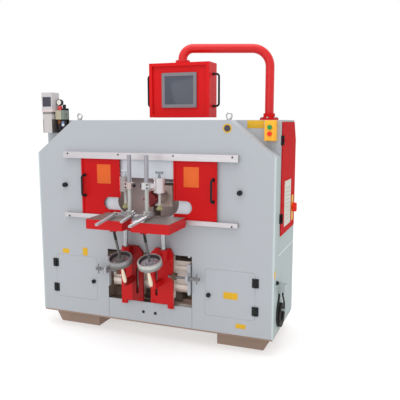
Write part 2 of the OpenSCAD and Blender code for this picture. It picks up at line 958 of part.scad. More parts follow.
module isolator_knob() {
    x0 = side_x + slide_fit + edoor_t + slide_fit;
    color([0.80, 0.10, 0.10]) {
        rod_x(knob_r, x0, x0 + knob_t, knob_y, knob_z);
        block([x0 + knob_t, knob_y - knob_grip_w / 2, knob_z - knob_r],
              [x0 + knob_t + knob_grip_t, knob_y + knob_grip_w / 2, knob_z + knob_r]);
        rod_x(knob_stem_r, side_x - sheet_t, x0, knob_y, knob_z);
    }
}

module guide_beam() {
    color(paint_sand) {
        block([-beam_x, beam_y0, beam_z0], [beam_x, beam_y0 + beam_d, beam_z0 + beam_h]);
        both_sides() block([beam_leg_x, beam_y0, bed_z1], [beam_x, beam_y0 + beam_d, beam_z0]);
        for (share = beam_rail_shares)
            block([-beam_rail_reach, beam_y0 - beam_rail_d, beam_rail_z(share) - beam_rail_h / 2],
                  [beam_rail_reach, beam_y0, beam_rail_z(share) + beam_rail_h / 2]);
    }
}

module bearing_brackets() {
    color(paint_white) both_sides() difference() {
        union() {
            block([bearing_x0, cross_y + bearing_nose_d, beam_z0 + bearing_margin],
                  [bearing_x1, beam_y0, beam_z0 + beam_h - bearing_margin]);
            block([bearing_x0, cross_y, cross_z - bearing_nose_h / 2],
                  [bearing_x1, cross_y + bearing_nose_d, cross_z + bearing_nose_h / 2]);
            rod_x(bearing_nose_h / 2, bearing_x0, bearing_x1, cross_y, cross_z);
        }
        rod_x(cross_r + run_fit, bearing_x0 - over, bearing_x1 + over, cross_y, cross_z);
    }
}

module cross_screw() {
    color(steel) {
        rod_x(cross_r, cross_x0, cross_knob_x, cross_y, cross_z);
        rod_x(cross_collar_r, bearing_x0 - slide_fit - cross_collar_t, bearing_x0 - slide_fit,
              cross_y, cross_z);
        rod_x(cross_collar_r, bearing_x1 + slide_fit, bearing_x1 + slide_fit + cross_collar_t,
              cross_y, cross_z);
        rod_x(cross_knob_r, cross_knob_x, cross_knob_x + cross_knob_l, cross_y, cross_z);
        rod_z(tommy_r, cross_z - tommy_l / 2, cross_z + tommy_l / 2,
              cross_knob_x + cross_knob_l / 2, cross_y);
    }
}

// Places the children on a tilt screw: Z along the screw, origin in the plane of the handwheel's rim
module on_screw() {
    translate([screw_x, wheel_y, wheel_z]) rotate([lean, 0, 0]) children();
}

module carriage_plate() {
    x1 = plate_x0 + plate_w;
    difference() {
        polygon([[plate_x0, plate_z0 + foot_h], [x1 - foot_w, plate_z0 + foot_h], [x1 - foot_w, plate_z0],
                 [x1, plate_z0], [x1, plate_z1 - plate_cut], [x1 - plate_cut / 2, plate_z1],
                 [plate_x0 + plate_cut, plate_z1], [plate_x0, plate_z1 - plate_cut]]);
        translate([slot_x - slot_w / 2, slot_z0 + slot_w / 2]) square([slot_w, slot_l - slot_w]);
        for (z = [slot_z0 + slot_w / 2, slot_z0 + slot_l - slot_w / 2])
            translate([slot_x, z]) circle(slot_w / 2);
    }
}

module carriage() {
    plate_y1 = plate_y0 + plate_t;
    x1 = plate_x0 + plate_w;
    saddle_x1 = saddle_x0 + saddle_w;
    color(paint_red) difference() {
        union() {
            along_y(plate_y0, plate_y1) carriage_plate();
            for (x = [saddle_x0, saddle_x1 - web_t])
                block([x, plate_y1, saddle_z0], [x + web_t, saddle_front, saddle_z1]);
            block([saddle_x0, saddle_front, saddle_z0], [saddle_x1, beam_y0 - saddle_play, saddle_z1]);
            block([x1 - over, nut_y0, cross_z - nut_h / 2], [x1 + nut_l, plate_y1, cross_z + nut_h / 2]);
            rod_z(boss_r, plate_z1 - boss_h, plate_z1, column_x, column_y);
            block([column_x - boss_r, column_y, plate_z1 - boss_h], [column_x + boss_r, plate_y0, plate_z1]);
            block([screw_x - arm_w / 2, housing_y, arm_z0], [screw_x + arm_w / 2, plate_y0, arm_z0 + arm_h]);
            on_screw() translate([0, 0, -housing_l])
                cylinder(r = housing_r, h = housing_l + hub_z0 - slide_fit);
        }
        for (share = beam_rail_shares)
            block([saddle_x0 - over, beam_y0 - beam_rail_d - slide_fit,
                   beam_rail_z(share) - beam_rail_h / 2 - slide_fit],
                  [saddle_x1 + over, beam_y0 + over, beam_rail_z(share) + beam_rail_h / 2 + slide_fit]);
        rod_x(cross_r + run_fit, x1 - plate_t, x1 + nut_l + over, cross_y, cross_z);
        rod_z(column_r + run_fit, plate_z1 - boss_h + socket_floor, plate_z1 + over, column_x, column_y);
        on_screw() translate([0, 0, -housing_l - arm_h])
            cylinder(r = screw_r + slide_fit, h = housing_l + arm_h);
    }
}

module column() {
    color(steel) difference() {
        union() {
            rod_z(column_r, plate_z1 - boss_h + socket_floor, pivot_z, column_x, column_y);
            rod_x(barrel_r, column_x - barrel_l / 2, column_x + barrel_l / 2, pivot_y, pivot_z);
        }
        rod_x(pivot_r + run_fit, column_x - barrel_l, column_x + barrel_l, pivot_y, pivot_z);
    }
}

// One lug of the table's rear pivot, as a side outline
module pivot_lug() {
    translate([pivot_y, pivot_z]) circle(barrel_r);
    translate([pivot_y - barrel_r, pivot_z]) square([2 * barrel_r, table_z - table_plate_t - pivot_z]);
}

// One ear of the slotted seat for the tilt screw's pin, as a side outline
module slot_ear_outline() {
    half = pin_r + pin_play;
    y0 = table_y0 + table_skirt_t;
    difference() {
        translate([y0, pin_z - ear_drop])
            square([pin_y - y0 + slot_run + half + slot_ear, table_z - table_plate_t - pin_z + ear_drop]);
        translate([pin_y, pin_z - half]) square([slot_run, 2 * half]);
        for (y = [0, slot_run]) translate([pin_y + y, pin_z]) circle(half);
    }
}

module table() {
    lug_in = barrel_l / 2 + slide_fit;
    ear_in = head_w / 2 + slide_fit;
    color(paint_red) {
        difference() {
            block([table_x0, table_y0, table_z0], [table_x1, table_y1, table_z]);
            block([table_x0 + table_skirt_t, table_y0 + table_skirt_t, table_z0 - over],
                  [table_x1 - table_skirt_t, table_y1 - table_skirt_t, table_z - table_plate_t]);
        }
        block([table_x0 + table_skirt_t, (table_y0 + table_y1) / 2, table_z0 + table_skirt_t],
              [table_x1 - table_skirt_t, (table_y0 + table_y1) / 2 + table_rib_t, table_z - table_plate_t]);
        for (s = [-1, 1]) {
            along_x(column_x + s * (lug_in + lug_t / 2) - lug_t / 2,
                    column_x + s * (lug_in + lug_t / 2) + lug_t / 2) pivot_lug();
            along_x(screw_x + s * (ear_in + ear_t / 2) - ear_t / 2,
                    screw_x + s * (ear_in + ear_t / 2) + ear_t / 2) slot_ear_outline();
        }
        rod_x(pivot_r, column_x - lug_in, column_x + lug_in, pivot_y, pivot_z);
    }
}

module tilt_screw() {
    reach = head_w / 2 + slide_fit + ear_t;
    color(plastic_black) on_screw() {
        translate([0, 0, -screw_below]) cylinder(r = screw_r, h = screw_below + wheel_drop);
        rod_x(head_r, -head_w / 2, head_w / 2, 0, wheel_drop);
        rod_x(pin_r, -reach, reach, 0, wheel_drop);
    }
}

module handwheel() {
    rim_in = wheel_r - rim_t;
    c = rim_chamfer;
    bore = screw_r + run_fit;
    color(steel) on_screw() difference() {
        rotate_extrude() polygon([
            [bore, hub_z0], [hub_r, hub_z0], [hub_r, web_disc_z], [rim_in, web_disc_z], [rim_in, -rim_h],
            [wheel_r - c, -rim_h], [wheel_r, c - rim_h], [wheel_r, -c], [wheel_r - c, 0], [rim_in + c, 0],
            [rim_in, -c], [rim_in, web_disc_z + web_disc_t], [hub_r, web_disc_z + web_disc_t],
            [hub_r, hub_z1], [bore, hub_z1]]);
        for (i = [0:web_holes - 1]) rotate(180 * (2 * i + 1) / web_holes) translate([web_hole_at, 0, -rim_h])
            cylinder(r = web_hole_r, h = rim_h);
    }
}

module wheel_grip(turn) {
    color(plastic_cream) on_screw() rotate(turn) translate([wheel_r - rim_t / 2, 0, -rim_h])
        mirror([0, 0, 1]) rotate_extrude() polygon([
            [0, 0], [rim_t / 2, 0], [rim_t / 2, grip_neck_l / 2], [grip_neck_r, grip_neck_l],
            [grip_r, grip_l * grip_swell_share], [grip_r, grip_l * grip_round_share], [grip_neck_r, grip_l],
            [0, grip_l]]);
}

module hold_down() {
    dx = ram_x - post_x;
    dy = ram_y - post_y;
    top = table_z + post_l;
    color(steel) difference() {
        union() {
            rod_z(post_base_r, table_z, table_z + post_base_t, post_x, post_y);
            rod_z(post_r, table_z, top, post_x, post_y);
            translate([post_x, post_y, clamp_z]) cube([clamp_w, clamp_w, clamp_h], center = true);
            translate([post_x, post_y, clamp_z]) rotate(atan2(dy, dx))
                translate([0, -clamp_arm_w / 2, -clamp_arm_w / 2])
                    cube([norm([dx, dy]), clamp_arm_w, clamp_arm_w]);
            rod_z(ram_r - ram_cap_over, ram_z0, ram_z0 + ram_l, ram_x, ram_y);
            for (z = [ram_z0, ram_z0 + ram_l - ram_cap_t]) rod_z(ram_r, z, z + ram_cap_t, ram_x, ram_y);
            rod_z(port_r, ram_z0 + ram_l, ram_z0 + ram_l + port_h, ram_x, ram_y);
        }
        rod_z(rod_r + run_fit, ram_z0 - over, ram_z0 + rod_in + rod_room, ram_x, ram_y);
    }
}

module press_pad() {
    color([0.62, 0.60, 0.30]) {
        translate([ram_x, ram_y, pad_z]) rotate_extrude() polygon([
            [0, 0], [pad_r, 0], [pad_r, pad_h * pad_rim_share], [pad_neck_r, pad_h * pad_neck_share],
            [pad_neck_r, pad_h], [0, pad_h]]);
        rod_z(rod_r, pad_z + pad_h, ram_z0 + rod_in, ram_x, ram_y);
    }
}

// One bar of a fence, along -Y beside the post, off to one side
module fence_bar(off, back, front) {
    translate([off - fence_bar_w / 2, -front, 0]) cube([fence_bar_w, front + back, fence_bar_h]);
}

module fence_clamp() {
    difference() {
        cylinder(r = fence_clamp_r, h = fence_clamp_h);
        translate([0, 0, -over]) cylinder(r = post_r + run_fit, h = fence_clamp_h + 2 * over);
    }
}

module left_fence() {
    color(steel) translate([-post_x, post_y, fence_z]) rotate(left_fence_turn) {
        fence_clamp();
        fence_bar(fence_off, fence_bar_w, fence_short_front);
        fence_bar(fence_off - fence_apart, fence_bar_w / 2, fence_front);
        translate([fence_off - fence_apart, -fence_bar_w / 2, 0])
            cube([fence_apart - 2 * fence_off, fence_bar_w, fence_bar_h]);
    }
}

module right_fence() {
    color(steel) translate([post_x, post_y, fence_z]) rotate(right_fence_turn) {
        fence_clamp();
        fence_bar(fence_off, fence_back, fence_front);
    }
}

module pendant_base() {
    color(paint_red) translate([pendant_base_x, pendant_base_y, cabinet_top]) difference() {
        union() {
            cylinder(r = flange_r, h = flange_t);
            cylinder(r = collar_r, h = collar_h);
        }
        translate([0, 0, flange_t]) cylinder(r = arm_r + run_fit, h = collar_h);
    }
}

// Level run, two bends and two legs of the pendant's tube, at radius r
module arm_path(r) {
    leg = arm_z - cabinet_top - flange_t - arm_bend;
    end = arm_z - arm_end_bend - pendant_z0 - pendant_h - arm_flange_t;
    translate([0, 0, arm_z]) {
        rod_x(r, arm_end_bend - arm_reach, -arm_bend, 0, 0);
        translate([-arm_bend, 0, -arm_bend]) rotate([90, 0, 0])
            rotate_extrude(angle = 90) translate([arm_bend, 0]) circle(r);
        translate([0, 0, -arm_bend - leg]) cylinder(r = r, h = leg);
        translate([arm_end_bend - arm_reach, 0, -arm_end_bend]) mirror([1, 0, 0]) rotate([90, 0, 0])
            rotate_extrude(angle = 90) translate([arm_end_bend, 0]) circle(r);
        translate([-arm_reach, 0, -arm_end_bend - end]) cylinder(r = r, h = end);
    }
}

module pendant_arm() {
    z0 = pendant_z0 + pendant_h + arm_flange_t;
    color(paint_red) translate([pendant_base_x, pendant_base_y, 0]) rotate(arm_turn) difference() {
        union() {
            arm_path(arm_r);
            rod_z(arm_flange_r, z0, z0 + arm_flange_t, -arm_reach, 0);
        }
        arm_path(arm_r - arm_wall);
    }
}

module pendant_box() {
    y0 = pendant_y - pendant_d / 2;
    z1 = pendant_z0 + pendant_h;
    x = pendant_w / 2;
    b = pendant_border;
    w = pendant_wall;
    back = y0 + pendant_recess;
    color(paint_red) difference() {
        union() {
            block([pendant_x - x, y0, pendant_z0], [pendant_x + x, y0 + pendant_d, z1]);
            rod_z(arm_flange_r, z1, z1 + arm_flange_t - slide_fit, pendant_x, pendant_y);
        }
        block([pendant_x - x + b, y0 - over, pendant_z0 + b], [pendant_x + x - b, back, z1 - b]);
        block([pendant_x - x + w, back + w, pendant_z0 + w],
              [pendant_x + x - w, y0 + pendant_d - w, z1 - w]);
        rod_z(pendant_cable_r, z1 - pendant_recess, z1 + arm_flange_t + over, pendant_x, pendant_y);
    }
}

module touch_screen() {
    y1 = pendant_y - pendant_d / 2 + pendant_recess;
    color([0.55, 0.56, 0.58]) translate([pendant_x, 0, pendant_z0 + pendant_h / 2]) difference() {
        along_y(y1 - screen_t, y1) rounded_rect(screen_w, screen_h, screen_corner_r);
        along_y(y1 - screen_t - over, y1 - screen_t + screen_dip)
            square([screen_w - 2 * screen_bezel, screen_h - 2 * screen_bezel], center = true);
    }
}

module pendant_handles() {
    color(plastic_black) for (s = [-1, 1])
        translate([pendant_x + s * pendant_w / 2, pendant_y, pendant_z0 + pendant_h / 2])
            rotate([0, 0, s * 90]) bail(pendant_handle_span);
}

function button_z(share) = cabinet_top - switch_drop - share * switch_h;

module switch_box() {
    z1 = cabinet_top - switch_drop;
    y0 = body_y - switch_d;
    color([0.94, 0.70, 0.22]) difference() {
        union() {
            block([switch_x - switch_w / 2, y0 + switch_lip, z1 - switch_h],
                  [switch_x + switch_w / 2, body_y, z1]);
            block([switch_x - switch_w / 2 + switch_lip, y0, z1 - switch_h + switch_lip],
                  [switch_x + switch_w / 2 - switch_lip, y0 + switch_lip, z1 - switch_lip]);
        }
        for (share = button_shares)
            rod_y(button_r + slide_fit, y0 - over, y0 + button_in + button_room, switch_x, button_z(share));
    }
}

module button(share) {
    y0 = body_y - switch_d;
    rod_y(button_r, y0 - button_out, y0 + button_in, switch_x, button_z(share));
}

module start_button() {
    color([0.10, 0.60, 0.25]) button(button_shares[0]);
}

module stop_button() {
    color([0.85, 0.12, 0.12]) button(button_shares[1]);
}

module oil_tank() {
    color([0.78, 0.78, 0.74])
        block([-lube_x - tank_w / 2, lube_y0, tank_z0], [-lube_x + tank_w / 2, body_y, tank_z0 + tank_h]);
}

module lubricator_head() {
    z0 = tank_z0 + tank_h;
    z1 = z0 + lube_flange_t;
    i = lube_panel_inset;
    color([0.70, 0.71, 0.72]) difference() {
        union() {
            block([-lube_x - lube_flange_w / 2, lube_y0, z0], [-lube_x + lube_flange_w / 2, body_y, z1]);
            block([-lube_x - lube_w / 2, lube_y0, z1], [-lube_x + lube_w / 2, body_y, z1 + lube_h]);
        }
        block([-lube_x - lube_w / 2 + i, lube_y0 - over, z1 + lube_panel_up],
              [-lube_x + lube_w / 2 - i, lube_y0 + lube_panel_dip, z1 + lube_panel_up + lube_panel_h]);
    }
}

module air_unit() {
    y0 = body_y - air_plate_t;
    yb = y0 - air_block_d / 2;
    z1 = air_block_z0 + air_block_h;
    color([0.32, 0.33, 0.35]) difference() {
        union() {
            block([-air_x - air_w / 2, y0, air_plate_z0],
                  [-air_x + air_w / 2, body_y, air_plate_z0 + air_plate_h]);
            block([-air_x - air_w / 2, y0 - air_block_d, air_block_z0], [-air_x + air_w / 2, y0, z1]);
            for (s = [-1, 1]) translate([-air_x + s * bowl_apart / 2, yb, 0]) {
                rod_z(bowl_r, air_block_z0 - bowl_l, air_block_z0, 0, 0);
                rod_z(bowl_tip_r, air_block_z0 - bowl_l - bowl_tip_l, air_block_z0 - bowl_l, 0, 0);
            }
            rod_z(gauge_stem_r, z1, gauge_z, -gauge_x, yb);
            rod_y(gauge_r, yb - gauge_t / 2, yb + gauge_t / 2, -gauge_x, gauge_z);
            rod_z(reg_stem_r, z1, z1 + reg_stem_h, -reg_x, yb);
        }
        rod_x(inlet_r, -air_x + air_w / 2 - inlet_depth, -air_x + air_w / 2 + over,
              yb, air_block_z0 + air_block_h / 2);
    }
}

module regulator_knob() {
    yb = body_y - air_plate_t - air_block_d / 2;
    z0 = air_block_z0 + air_block_h;
    color(plastic_black) translate([-reg_x, yb, z0 + slide_fit]) difference() {
        cylinder(r = reg_knob_r, h = reg_knob_h);
        translate([0, 0, -over]) cylinder(r = reg_stem_r + run_fit, h = over + reg_stem_h);
    }
}

module spindle_slide() {
    z0 = bed_z1 + slide_lift;
    z1 = z0 + slide_base_t;
    color(paint_sand) difference() {
        union() {
            block([-slide_w / 2, slide_y0, z0], [slide_w / 2, slide_y1, z1]);
            both_sides()
                block([upright_x0, upright_y0, z1], [upright_x0 + upright_w, upright_y1, upright_top]);
            block([-upright_x0, upright_y0, upright_top - bridge_h], [upright_x0, upright_y1, upright_top]);
        }
        for (y = way_ys)
            block([-slide_w, y - slide_fit, z0 - over],
                  [slide_w, y + way_w + slide_fit, bed_z1 + way_h + slide_fit]);
    }
}

module spindle_head() {
    x = upright_x0 - slide_fit;
    color(paint_red) difference() {
        union() {
            block([-x, slide_y0, spindle_z - head_h / 2], [x, slide_y1, spindle_z + head_h / 2]);
            rod_y(nose_r, nose_y0, slide_y0, 0, spindle_z);
            rod_y(motor_r, slide_y1, motor_y1, 0, spindle_z);
            for (i = [0:motor_fins - 1])
                rod_y(motor_r + motor_fin_h, slide_y1 + (2 * i + 1) * motor_fin_w,
                      slide_y1 + (2 * i + 2) * motor_fin_w, 0, spindle_z);
        }
        rod_y(shaft_r + run_fit, nose_y0 - over, slide_y1, 0, spindle_z);
    }
}

module cutter() {
    y1 = cutter_y0 + cutter_t;
    color([0.72, 0.12, 0.14]) {
        rod_y(cutter_hub_r, cutter_y0, y1, 0, spindle_z);
        rod_y(shaft_r, y1, slide_y1 - over, 0, spindle_z);
        for (i = [0:knives - 1]) translate([0, cutter_y0, spindle_z]) rotate([0, 360 * i / knives, 0]) {
            translate([0, 0, -knife_t]) cube([cutter_r - knife_out, cutter_t, knife_w]);
            translate([0, 0, -knife_t / 2]) cube([cutter_r, cutter_t, knife_t]);
        }
    }
}

// Height of the coil's climb from the first layer to the second, as a share
function climb(t) =
    let (u = max(0, min(1, (t - coil_turns) / coil_climb_share + 1 / 2)))
    u * u * (3 - 2 * u);
function coil_point(t) =
    let (r = coil_r_in + coil_step * abs(t - coil_turns), a = 180 + 360 * t)
    [coil_x + coil_layer * climb(t), coil_y + r * cos(a), coil_z + r * sin(a)];
coil_count = 2 * coil_turns * coil_rings;
coil_turn_points = [for (i = [0:coil_count]) coil_point(i / coil_rings)];
coil_points = concat(
    [coil_turn_points[0] + [0, 0, cable_straight]],
    coil_turn_points,
    [coil_turn_points[coil_count] + [0, 0, cable_straight]]);

// Least gap of the coil to itself, measured between points at least half a turn apart
coil_gap = min([for (i = [0:coil_count], j = [i + coil_rings / 2:coil_count])
    norm(coil_turn_points[i] - coil_turn_points[j])]) - 2 * cable_r;
echo(coil_gap = coil_gap);

module cable_coil() {
    color(plastic_black) tube(coil_points, cable_r, coil_sides);
}

module cable_leads() {
    color(plastic_black) for (s = [-1, 1])
        tube([for (q = lead_route) [coil_x + (s > 0 ? coil_layer : 0), coil_y + s * q[0], coil_z + q[1]]],
             cable_r, lead_sides);
}

module cable_gland() {
    peg_z = coil_z + coil_r_in - cable_r - slide_fit - peg_r;
    color(plastic_black) {
        block([side_x, coil_y - gland_w / 2, gland_z0],
              [side_x + gland_d, coil_y + gland_w / 2, gland_z0 + gland_h]);
        difference() {
            for (s = [-1, 1])
                rod_z(gland_nut_r, gland_z0 - gland_nut_h, gland_z0,
                      coil_x + (s > 0 ? coil_layer : 0), coil_y + s * lead_y);
            block([side_x - gland_d, coil_y - gland_w, gland_z0 - gland_h],
                  [side_x, coil_y + gland_w, gland_z0 + gland_h]);
        }
        rod_x(peg_r, side_x, side_x + peg_l, coil_y, peg_z);
        rod_x(peg_head_r, side_x + peg_l, side_x + peg_l + peg_head_t, coil_y, peg_z);
    }
}

base_frame();
front_casing();
body_shell();
rear_panel();
skirt_panel();
lifting_eyes();
guard_rails();
door_bumpers();
cabinet_hinges();
guide_beam();
bearing_brackets();
switch_box();
lubricator_head();
oil_tank();
air_unit();
pendant_base();
cable_gland();
cable_leads();
cable_coil();
on_side(-1) guard_door();  // left_guard_door
on_side(-1) guard_handle();  // left_guard_handle
on_side(1) guard_door();  // right_guard_door
on_side(1) guard_handle();  // right_guard_handle
on_side(-1) access_door();  // left_access_door
on_side(-1) access_lock();  // left_access_lock
on_side(1) access_door();  // right_access_door
on_side(1) access_lock();  // right_access_lock
electrical_door();
vent_cover();
isolator_knob();
pendant_arm();
pendant_box();
touch_screen();
pendant_handles();
start_button();
stop_button();
regulator_knob();
on_side(-1) carriage();  // left_carriage
on_side(-1) column();  // left_column
on_side(-1) table();  // left_table
on_side(-1) tilt_screw();  // left_tilt_screw
on_side(-1) handwheel();  // left_handwheel
on_side(-1) wheel_grip(left_grip_turn);  // left_wheel_grip
on_side(-1) cross_screw();  // left_cross_screw
on_side(-1) hold_down();  // left_hold_down
on_side(-1) press_pad();  // left_press_pad
left_fence();
on_side(1) carriage();  // right_carriage
on_side(1) column();  // right_column
on_side(1) table();  // right_table
on_side(1) tilt_screw();  // right_tilt_screw
on_side(1) handwheel();  // right_handwheel
on_side(1) wheel_grip(right_grip_turn);  // right_wheel_grip
on_side(1) cross_screw();  // right_cross_screw
on_side(1) hold_down();  // right_hold_down
on_side(1) press_pad();  // right_press_pad
right_fence();
spindle_slide();
spindle_head();
cutter();
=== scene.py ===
# %% [markdown]
# # Dressing a two-station tenoning machine
# The solids of the machine come from the CAD frame and stay exactly where they are. This lesson gives them
# their paint, metal and plastic, and adds the small things a machine shop adds last: screws, threads, labels,
# the wound cable, the gauge and the screen glass. Lengths are in metres. The middle of the machine is x = 0,
# its front looks along -y, and the floor is z = 0.

# %% Load the frame and note its box
import functools
import json
import math

import bpy
import numpy as np
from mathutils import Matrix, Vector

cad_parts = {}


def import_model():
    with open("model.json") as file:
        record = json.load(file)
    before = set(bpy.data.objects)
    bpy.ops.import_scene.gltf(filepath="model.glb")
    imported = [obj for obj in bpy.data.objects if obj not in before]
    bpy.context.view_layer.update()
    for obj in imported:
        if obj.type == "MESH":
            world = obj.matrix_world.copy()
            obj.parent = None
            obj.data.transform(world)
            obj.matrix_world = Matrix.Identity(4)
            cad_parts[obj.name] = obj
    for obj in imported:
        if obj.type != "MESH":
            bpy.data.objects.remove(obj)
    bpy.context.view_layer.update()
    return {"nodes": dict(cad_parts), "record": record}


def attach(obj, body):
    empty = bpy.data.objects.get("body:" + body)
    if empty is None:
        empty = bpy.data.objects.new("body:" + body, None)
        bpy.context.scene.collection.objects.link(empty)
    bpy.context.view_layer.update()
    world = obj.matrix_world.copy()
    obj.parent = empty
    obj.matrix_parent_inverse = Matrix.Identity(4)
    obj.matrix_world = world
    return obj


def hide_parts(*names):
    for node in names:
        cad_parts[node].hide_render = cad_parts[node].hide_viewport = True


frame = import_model()
nodes = frame["nodes"]

# %% [markdown]
# ## The camera
# The photograph was taken from the right of the machine, a little above the tables, with a normal lens. The
# place and the lens were fitted to the cabinet's long edges, so the picture lines up with the model.

# %% Camera
SENSOR_WIDTH, LENS = 36, 47.8  # millimetres
CAMERA_AT = (1.578, -3.518, 1.510)
LOOK_DOWN, LOOK_LEFT = 8.32, 20.55  # degrees

camera_data = bpy.data.cameras.new("photo_camera")
camera_data.sensor_width = SENSOR_WIDTH
camera_data.lens = LENS
camera = bpy.data.objects.new("photo_camera", camera_data)
camera.location = CAMERA_AT
camera.rotation_euler = (math.radians(90 - LOOK_DOWN), 0, math.radians(LOOK_LEFT))
bpy.context.scene.collection.objects.link(camera)
bpy.context.scene.camera = camera
print("camera at", tuple(camera.location))

# %% [markdown]
# ## Shared effects
# Real paint is never one flat colour. Two node groups carry what most finishes here share: a coat of paint
# with slow changes of tone, fine speckle and orange peel, and bare metal with fine lines from a cutter.
# Pictures could do this too, but noise on the object's own coordinates needs no unwrapping and stays sharp
# close up.

# %% Colours and sockets
VECTOR, COLOUR, FLOAT = "NodeSocketVector", "NodeSocketColor", "NodeSocketFloat"
SHARED_INPUTS = [("Vector", VECTOR, (0, 0, 0)), ("Colour", COLOUR, (1, 1, 1, 1))]
RESULTS = [("Colour", COLOUR), ("Roughness", FLOAT), ("Height", FLOAT)]


def linear(rgb):
    """An sRGB colour of 0 to 255 as linear values: ((c + 0.055) / 1.055) ** 2.4 above the straight foot."""
    c = np.array(rgb) / 255
    return (*np.where(c < 0.04045, c / 12.92, ((c + 0.055) / 1.055) ** 2.4).tolist(), 1.0)


def feed(tree, socket, value):
    """Links or sets a socket. A value of three numbers is an sRGB colour of 0 to 255."""
    if isinstance(value, bpy.types.NodeSocket):
        tree.links.new(value, socket)
    else:
        socket.default_value = linear(value) if isinstance(value, tuple) and len(value) == 3 else value


def group_with(name, inputs):
    """An empty shader group with the shared sockets and some inputs of its own."""
    group = bpy.data.node_groups.new(name, "ShaderNodeTree")
    for label, kind, value in SHARED_INPUTS + inputs:
        socket = group.interface.new_socket(label, in_out="INPUT", socket_type=kind)
        socket.default_value = value
    for label, kind in RESULTS:
        group.interface.new_socket(label, in_out="OUTPUT", socket_type=kind)
    return group, group.nodes.new("NodeGroupInput"), group.nodes.new("NodeGroupOutput")


print("white is", linear((255, 255, 255)))

# %% Noise


def noise(tree, vector, scale, detail, rough=0.55):
    """A noise texture on a vector, its value as output."""
    node = tree.nodes.new("ShaderNodeTexNoise")
    node.inputs["Scale"].default_value = scale
    node.inputs["Detail"].default_value = detail
    node.inputs["Roughness"].default_value = rough
    tree.links.new(vector, node.inputs["Vector"])
    return node.outputs["Fac"]


def remap(tree, value, low, high):
    """Stretches low..high to 0..1 and clamps it."""
    node = tree.nodes.new("ShaderNodeMapRange")
    node.inputs["From Min"].default_value = low
    node.inputs["From Max"].default_value = high
    tree.links.new(value, node.inputs["Value"])
    return node.outputs["Result"]


print("noise can be stretched to 0..1")

# %% Sums and mixes
MIX_SHARE, MIX_FIRST, MIX_SECOND, MIX_RESULT = 0, 6, 7, 2  # the colour sockets of a Mix node


def sums(tree, operation, *values):
    """One arithmetic step on one or two values, sockets or numbers."""
    node = tree.nodes.new("ShaderNodeMath")
    node.operation = operation
    for socket, value in zip(node.inputs, values):
        feed(tree, socket, value)
    return node.outputs[0]


def times(tree, first, second):
    """The product of two values."""
    return sums(tree, "MULTIPLY", first, second)


def weighted(tree, first, weight, second, other):
    """first weight + second other."""
    return sums(tree, "ADD", times(tree, first, weight), times(tree, second, other))


def mixed(tree, share, first, second):
    """A colour between two, by a share from 0 to 1."""
    node = tree.nodes.new("ShaderNodeMix")
    node.data_type = "RGBA"
    for number, value in ((MIX_SHARE, share), (MIX_FIRST, first), (MIX_SECOND, second)):
        feed(tree, node.inputs[number], value)
    return node.outputs[MIX_RESULT]


print("a mix gives socket", MIX_RESULT)

# %% [markdown]
# ## Paint and metal groups
# Sprayed paint has a skin like an orange's and gathers dust near the floor; cut metal has fine lines and
# stains. Each could be built anew in every material, but a group is built once and takes its colours and
# amounts as inputs.

# %% Paint group
DUST = (0.27, 0.22, 0.18, 1)
DUST_STARTS, DUST_FULL = 0.40, 0.10  # heights above the floor


def make_paint_group():
    """Paint: mixed towards its shade by slow and fine noise, dusty low down, with orange peel as height."""
    group, given, out = group_with("paint_coat", [("Shade", COLOUR, (0, 0, 0, 1)), ("Mottle", FLOAT, 0.3),
                                                  ("Dust", FLOAT, 0.2), ("Gloss", FLOAT, 0.35)])
    vector = given.outputs["Vector"]
    slow = remap(group, noise(group, vector, 1.7, 4), 0.35, 0.7)
    fine = remap(group, noise(group, vector, 46, 5, 0.65), 0.35, 0.75)
    tone = times(group, weighted(group, slow, 0.7, fine, 0.3), given.outputs["Mottle"])
    split = group.nodes.new("ShaderNodeSeparateXYZ")
    group.links.new(vector, split.inputs[0])
    low = remap(group, split.outputs["Z"], DUST_STARTS, DUST_FULL)
    dust_and_painted_shade = times(group, times(group, low, given.outputs["Dust"]),
                 remap(group, noise(group, vector, 9, 6, 0.7), 0.3, 0.65))
    coat = mixed(group, tone, given.outputs["Colour"], given.outputs["Shade"])
    group.links.new(mixed(group, dust_and_painted_shade, coat, DUST), out.inputs["Colour"])
    rough = sums(group, "ADD", given.outputs["Gloss"], weighted(group, fine, 0.12, dust_and_painted_shade, 0.3))
    group.links.new(rough, out.inputs["Roughness"])
    group.links.new(noise(group, vector, 420, 2, 0.5), out.inputs["Height"])
    return group


paint_group = make_paint_group()
print(paint_group.name, "has", len(paint_group.nodes), "nodes")

# %% Metal group


def make_metal_group():
    """Cut metal: fine lines along the stretched axis of its vector, with stains."""
    group, given, out = group_with("cut_metal", [("Stain", COLOUR, (0, 0, 0, 1)), ("Amount", FLOAT, 0.3),
                                                 ("Gloss", FLOAT, 0.3)])
    vector = given.outputs["Vector"]
    lines = noise(group, vector, 1.0, 3, 0.6)
    blots = remap(group, noise(group, vector, 0.11, 5, 0.7), 0.4, 0.72)
    share = times(group, weighted(group, blots, 0.75, lines, 0.25), given.outputs["Amount"])
    stained = mixed(group, share, given.outputs["Colour"], given.outputs["Stain"])
    group.links.new(stained, out.inputs["Colour"])
    rough = sums(group, "ADD", given.outputs["Gloss"], weighted(group, blots, 0.14, lines, 0.12))
    group.links.new(rough, out.inputs["Roughness"])
    group.links.new(lines, out.inputs["Height"])
    return group


metal_group = make_metal_group()
print(metal_group.name, "has", len(metal_group.nodes), "nodes")

# %% [markdown]
# ## Materials
# A material places one of the groups, feeds it, and bumps the surface with the height that comes back. What
# doesn't change over a surface, such as its metallic value, is set on the material's own Principled shader.

# %% Materials
coats = {}


def new_material(name):
    """A material with its Principled shader, and the tree to build in. It is kept in coats under its name."""
    material = coats[name] = bpy.data.materials.new(name)
    material.use_nodes = True
    return material.node_tree, material.node_tree.nodes["Principled BSDF"]


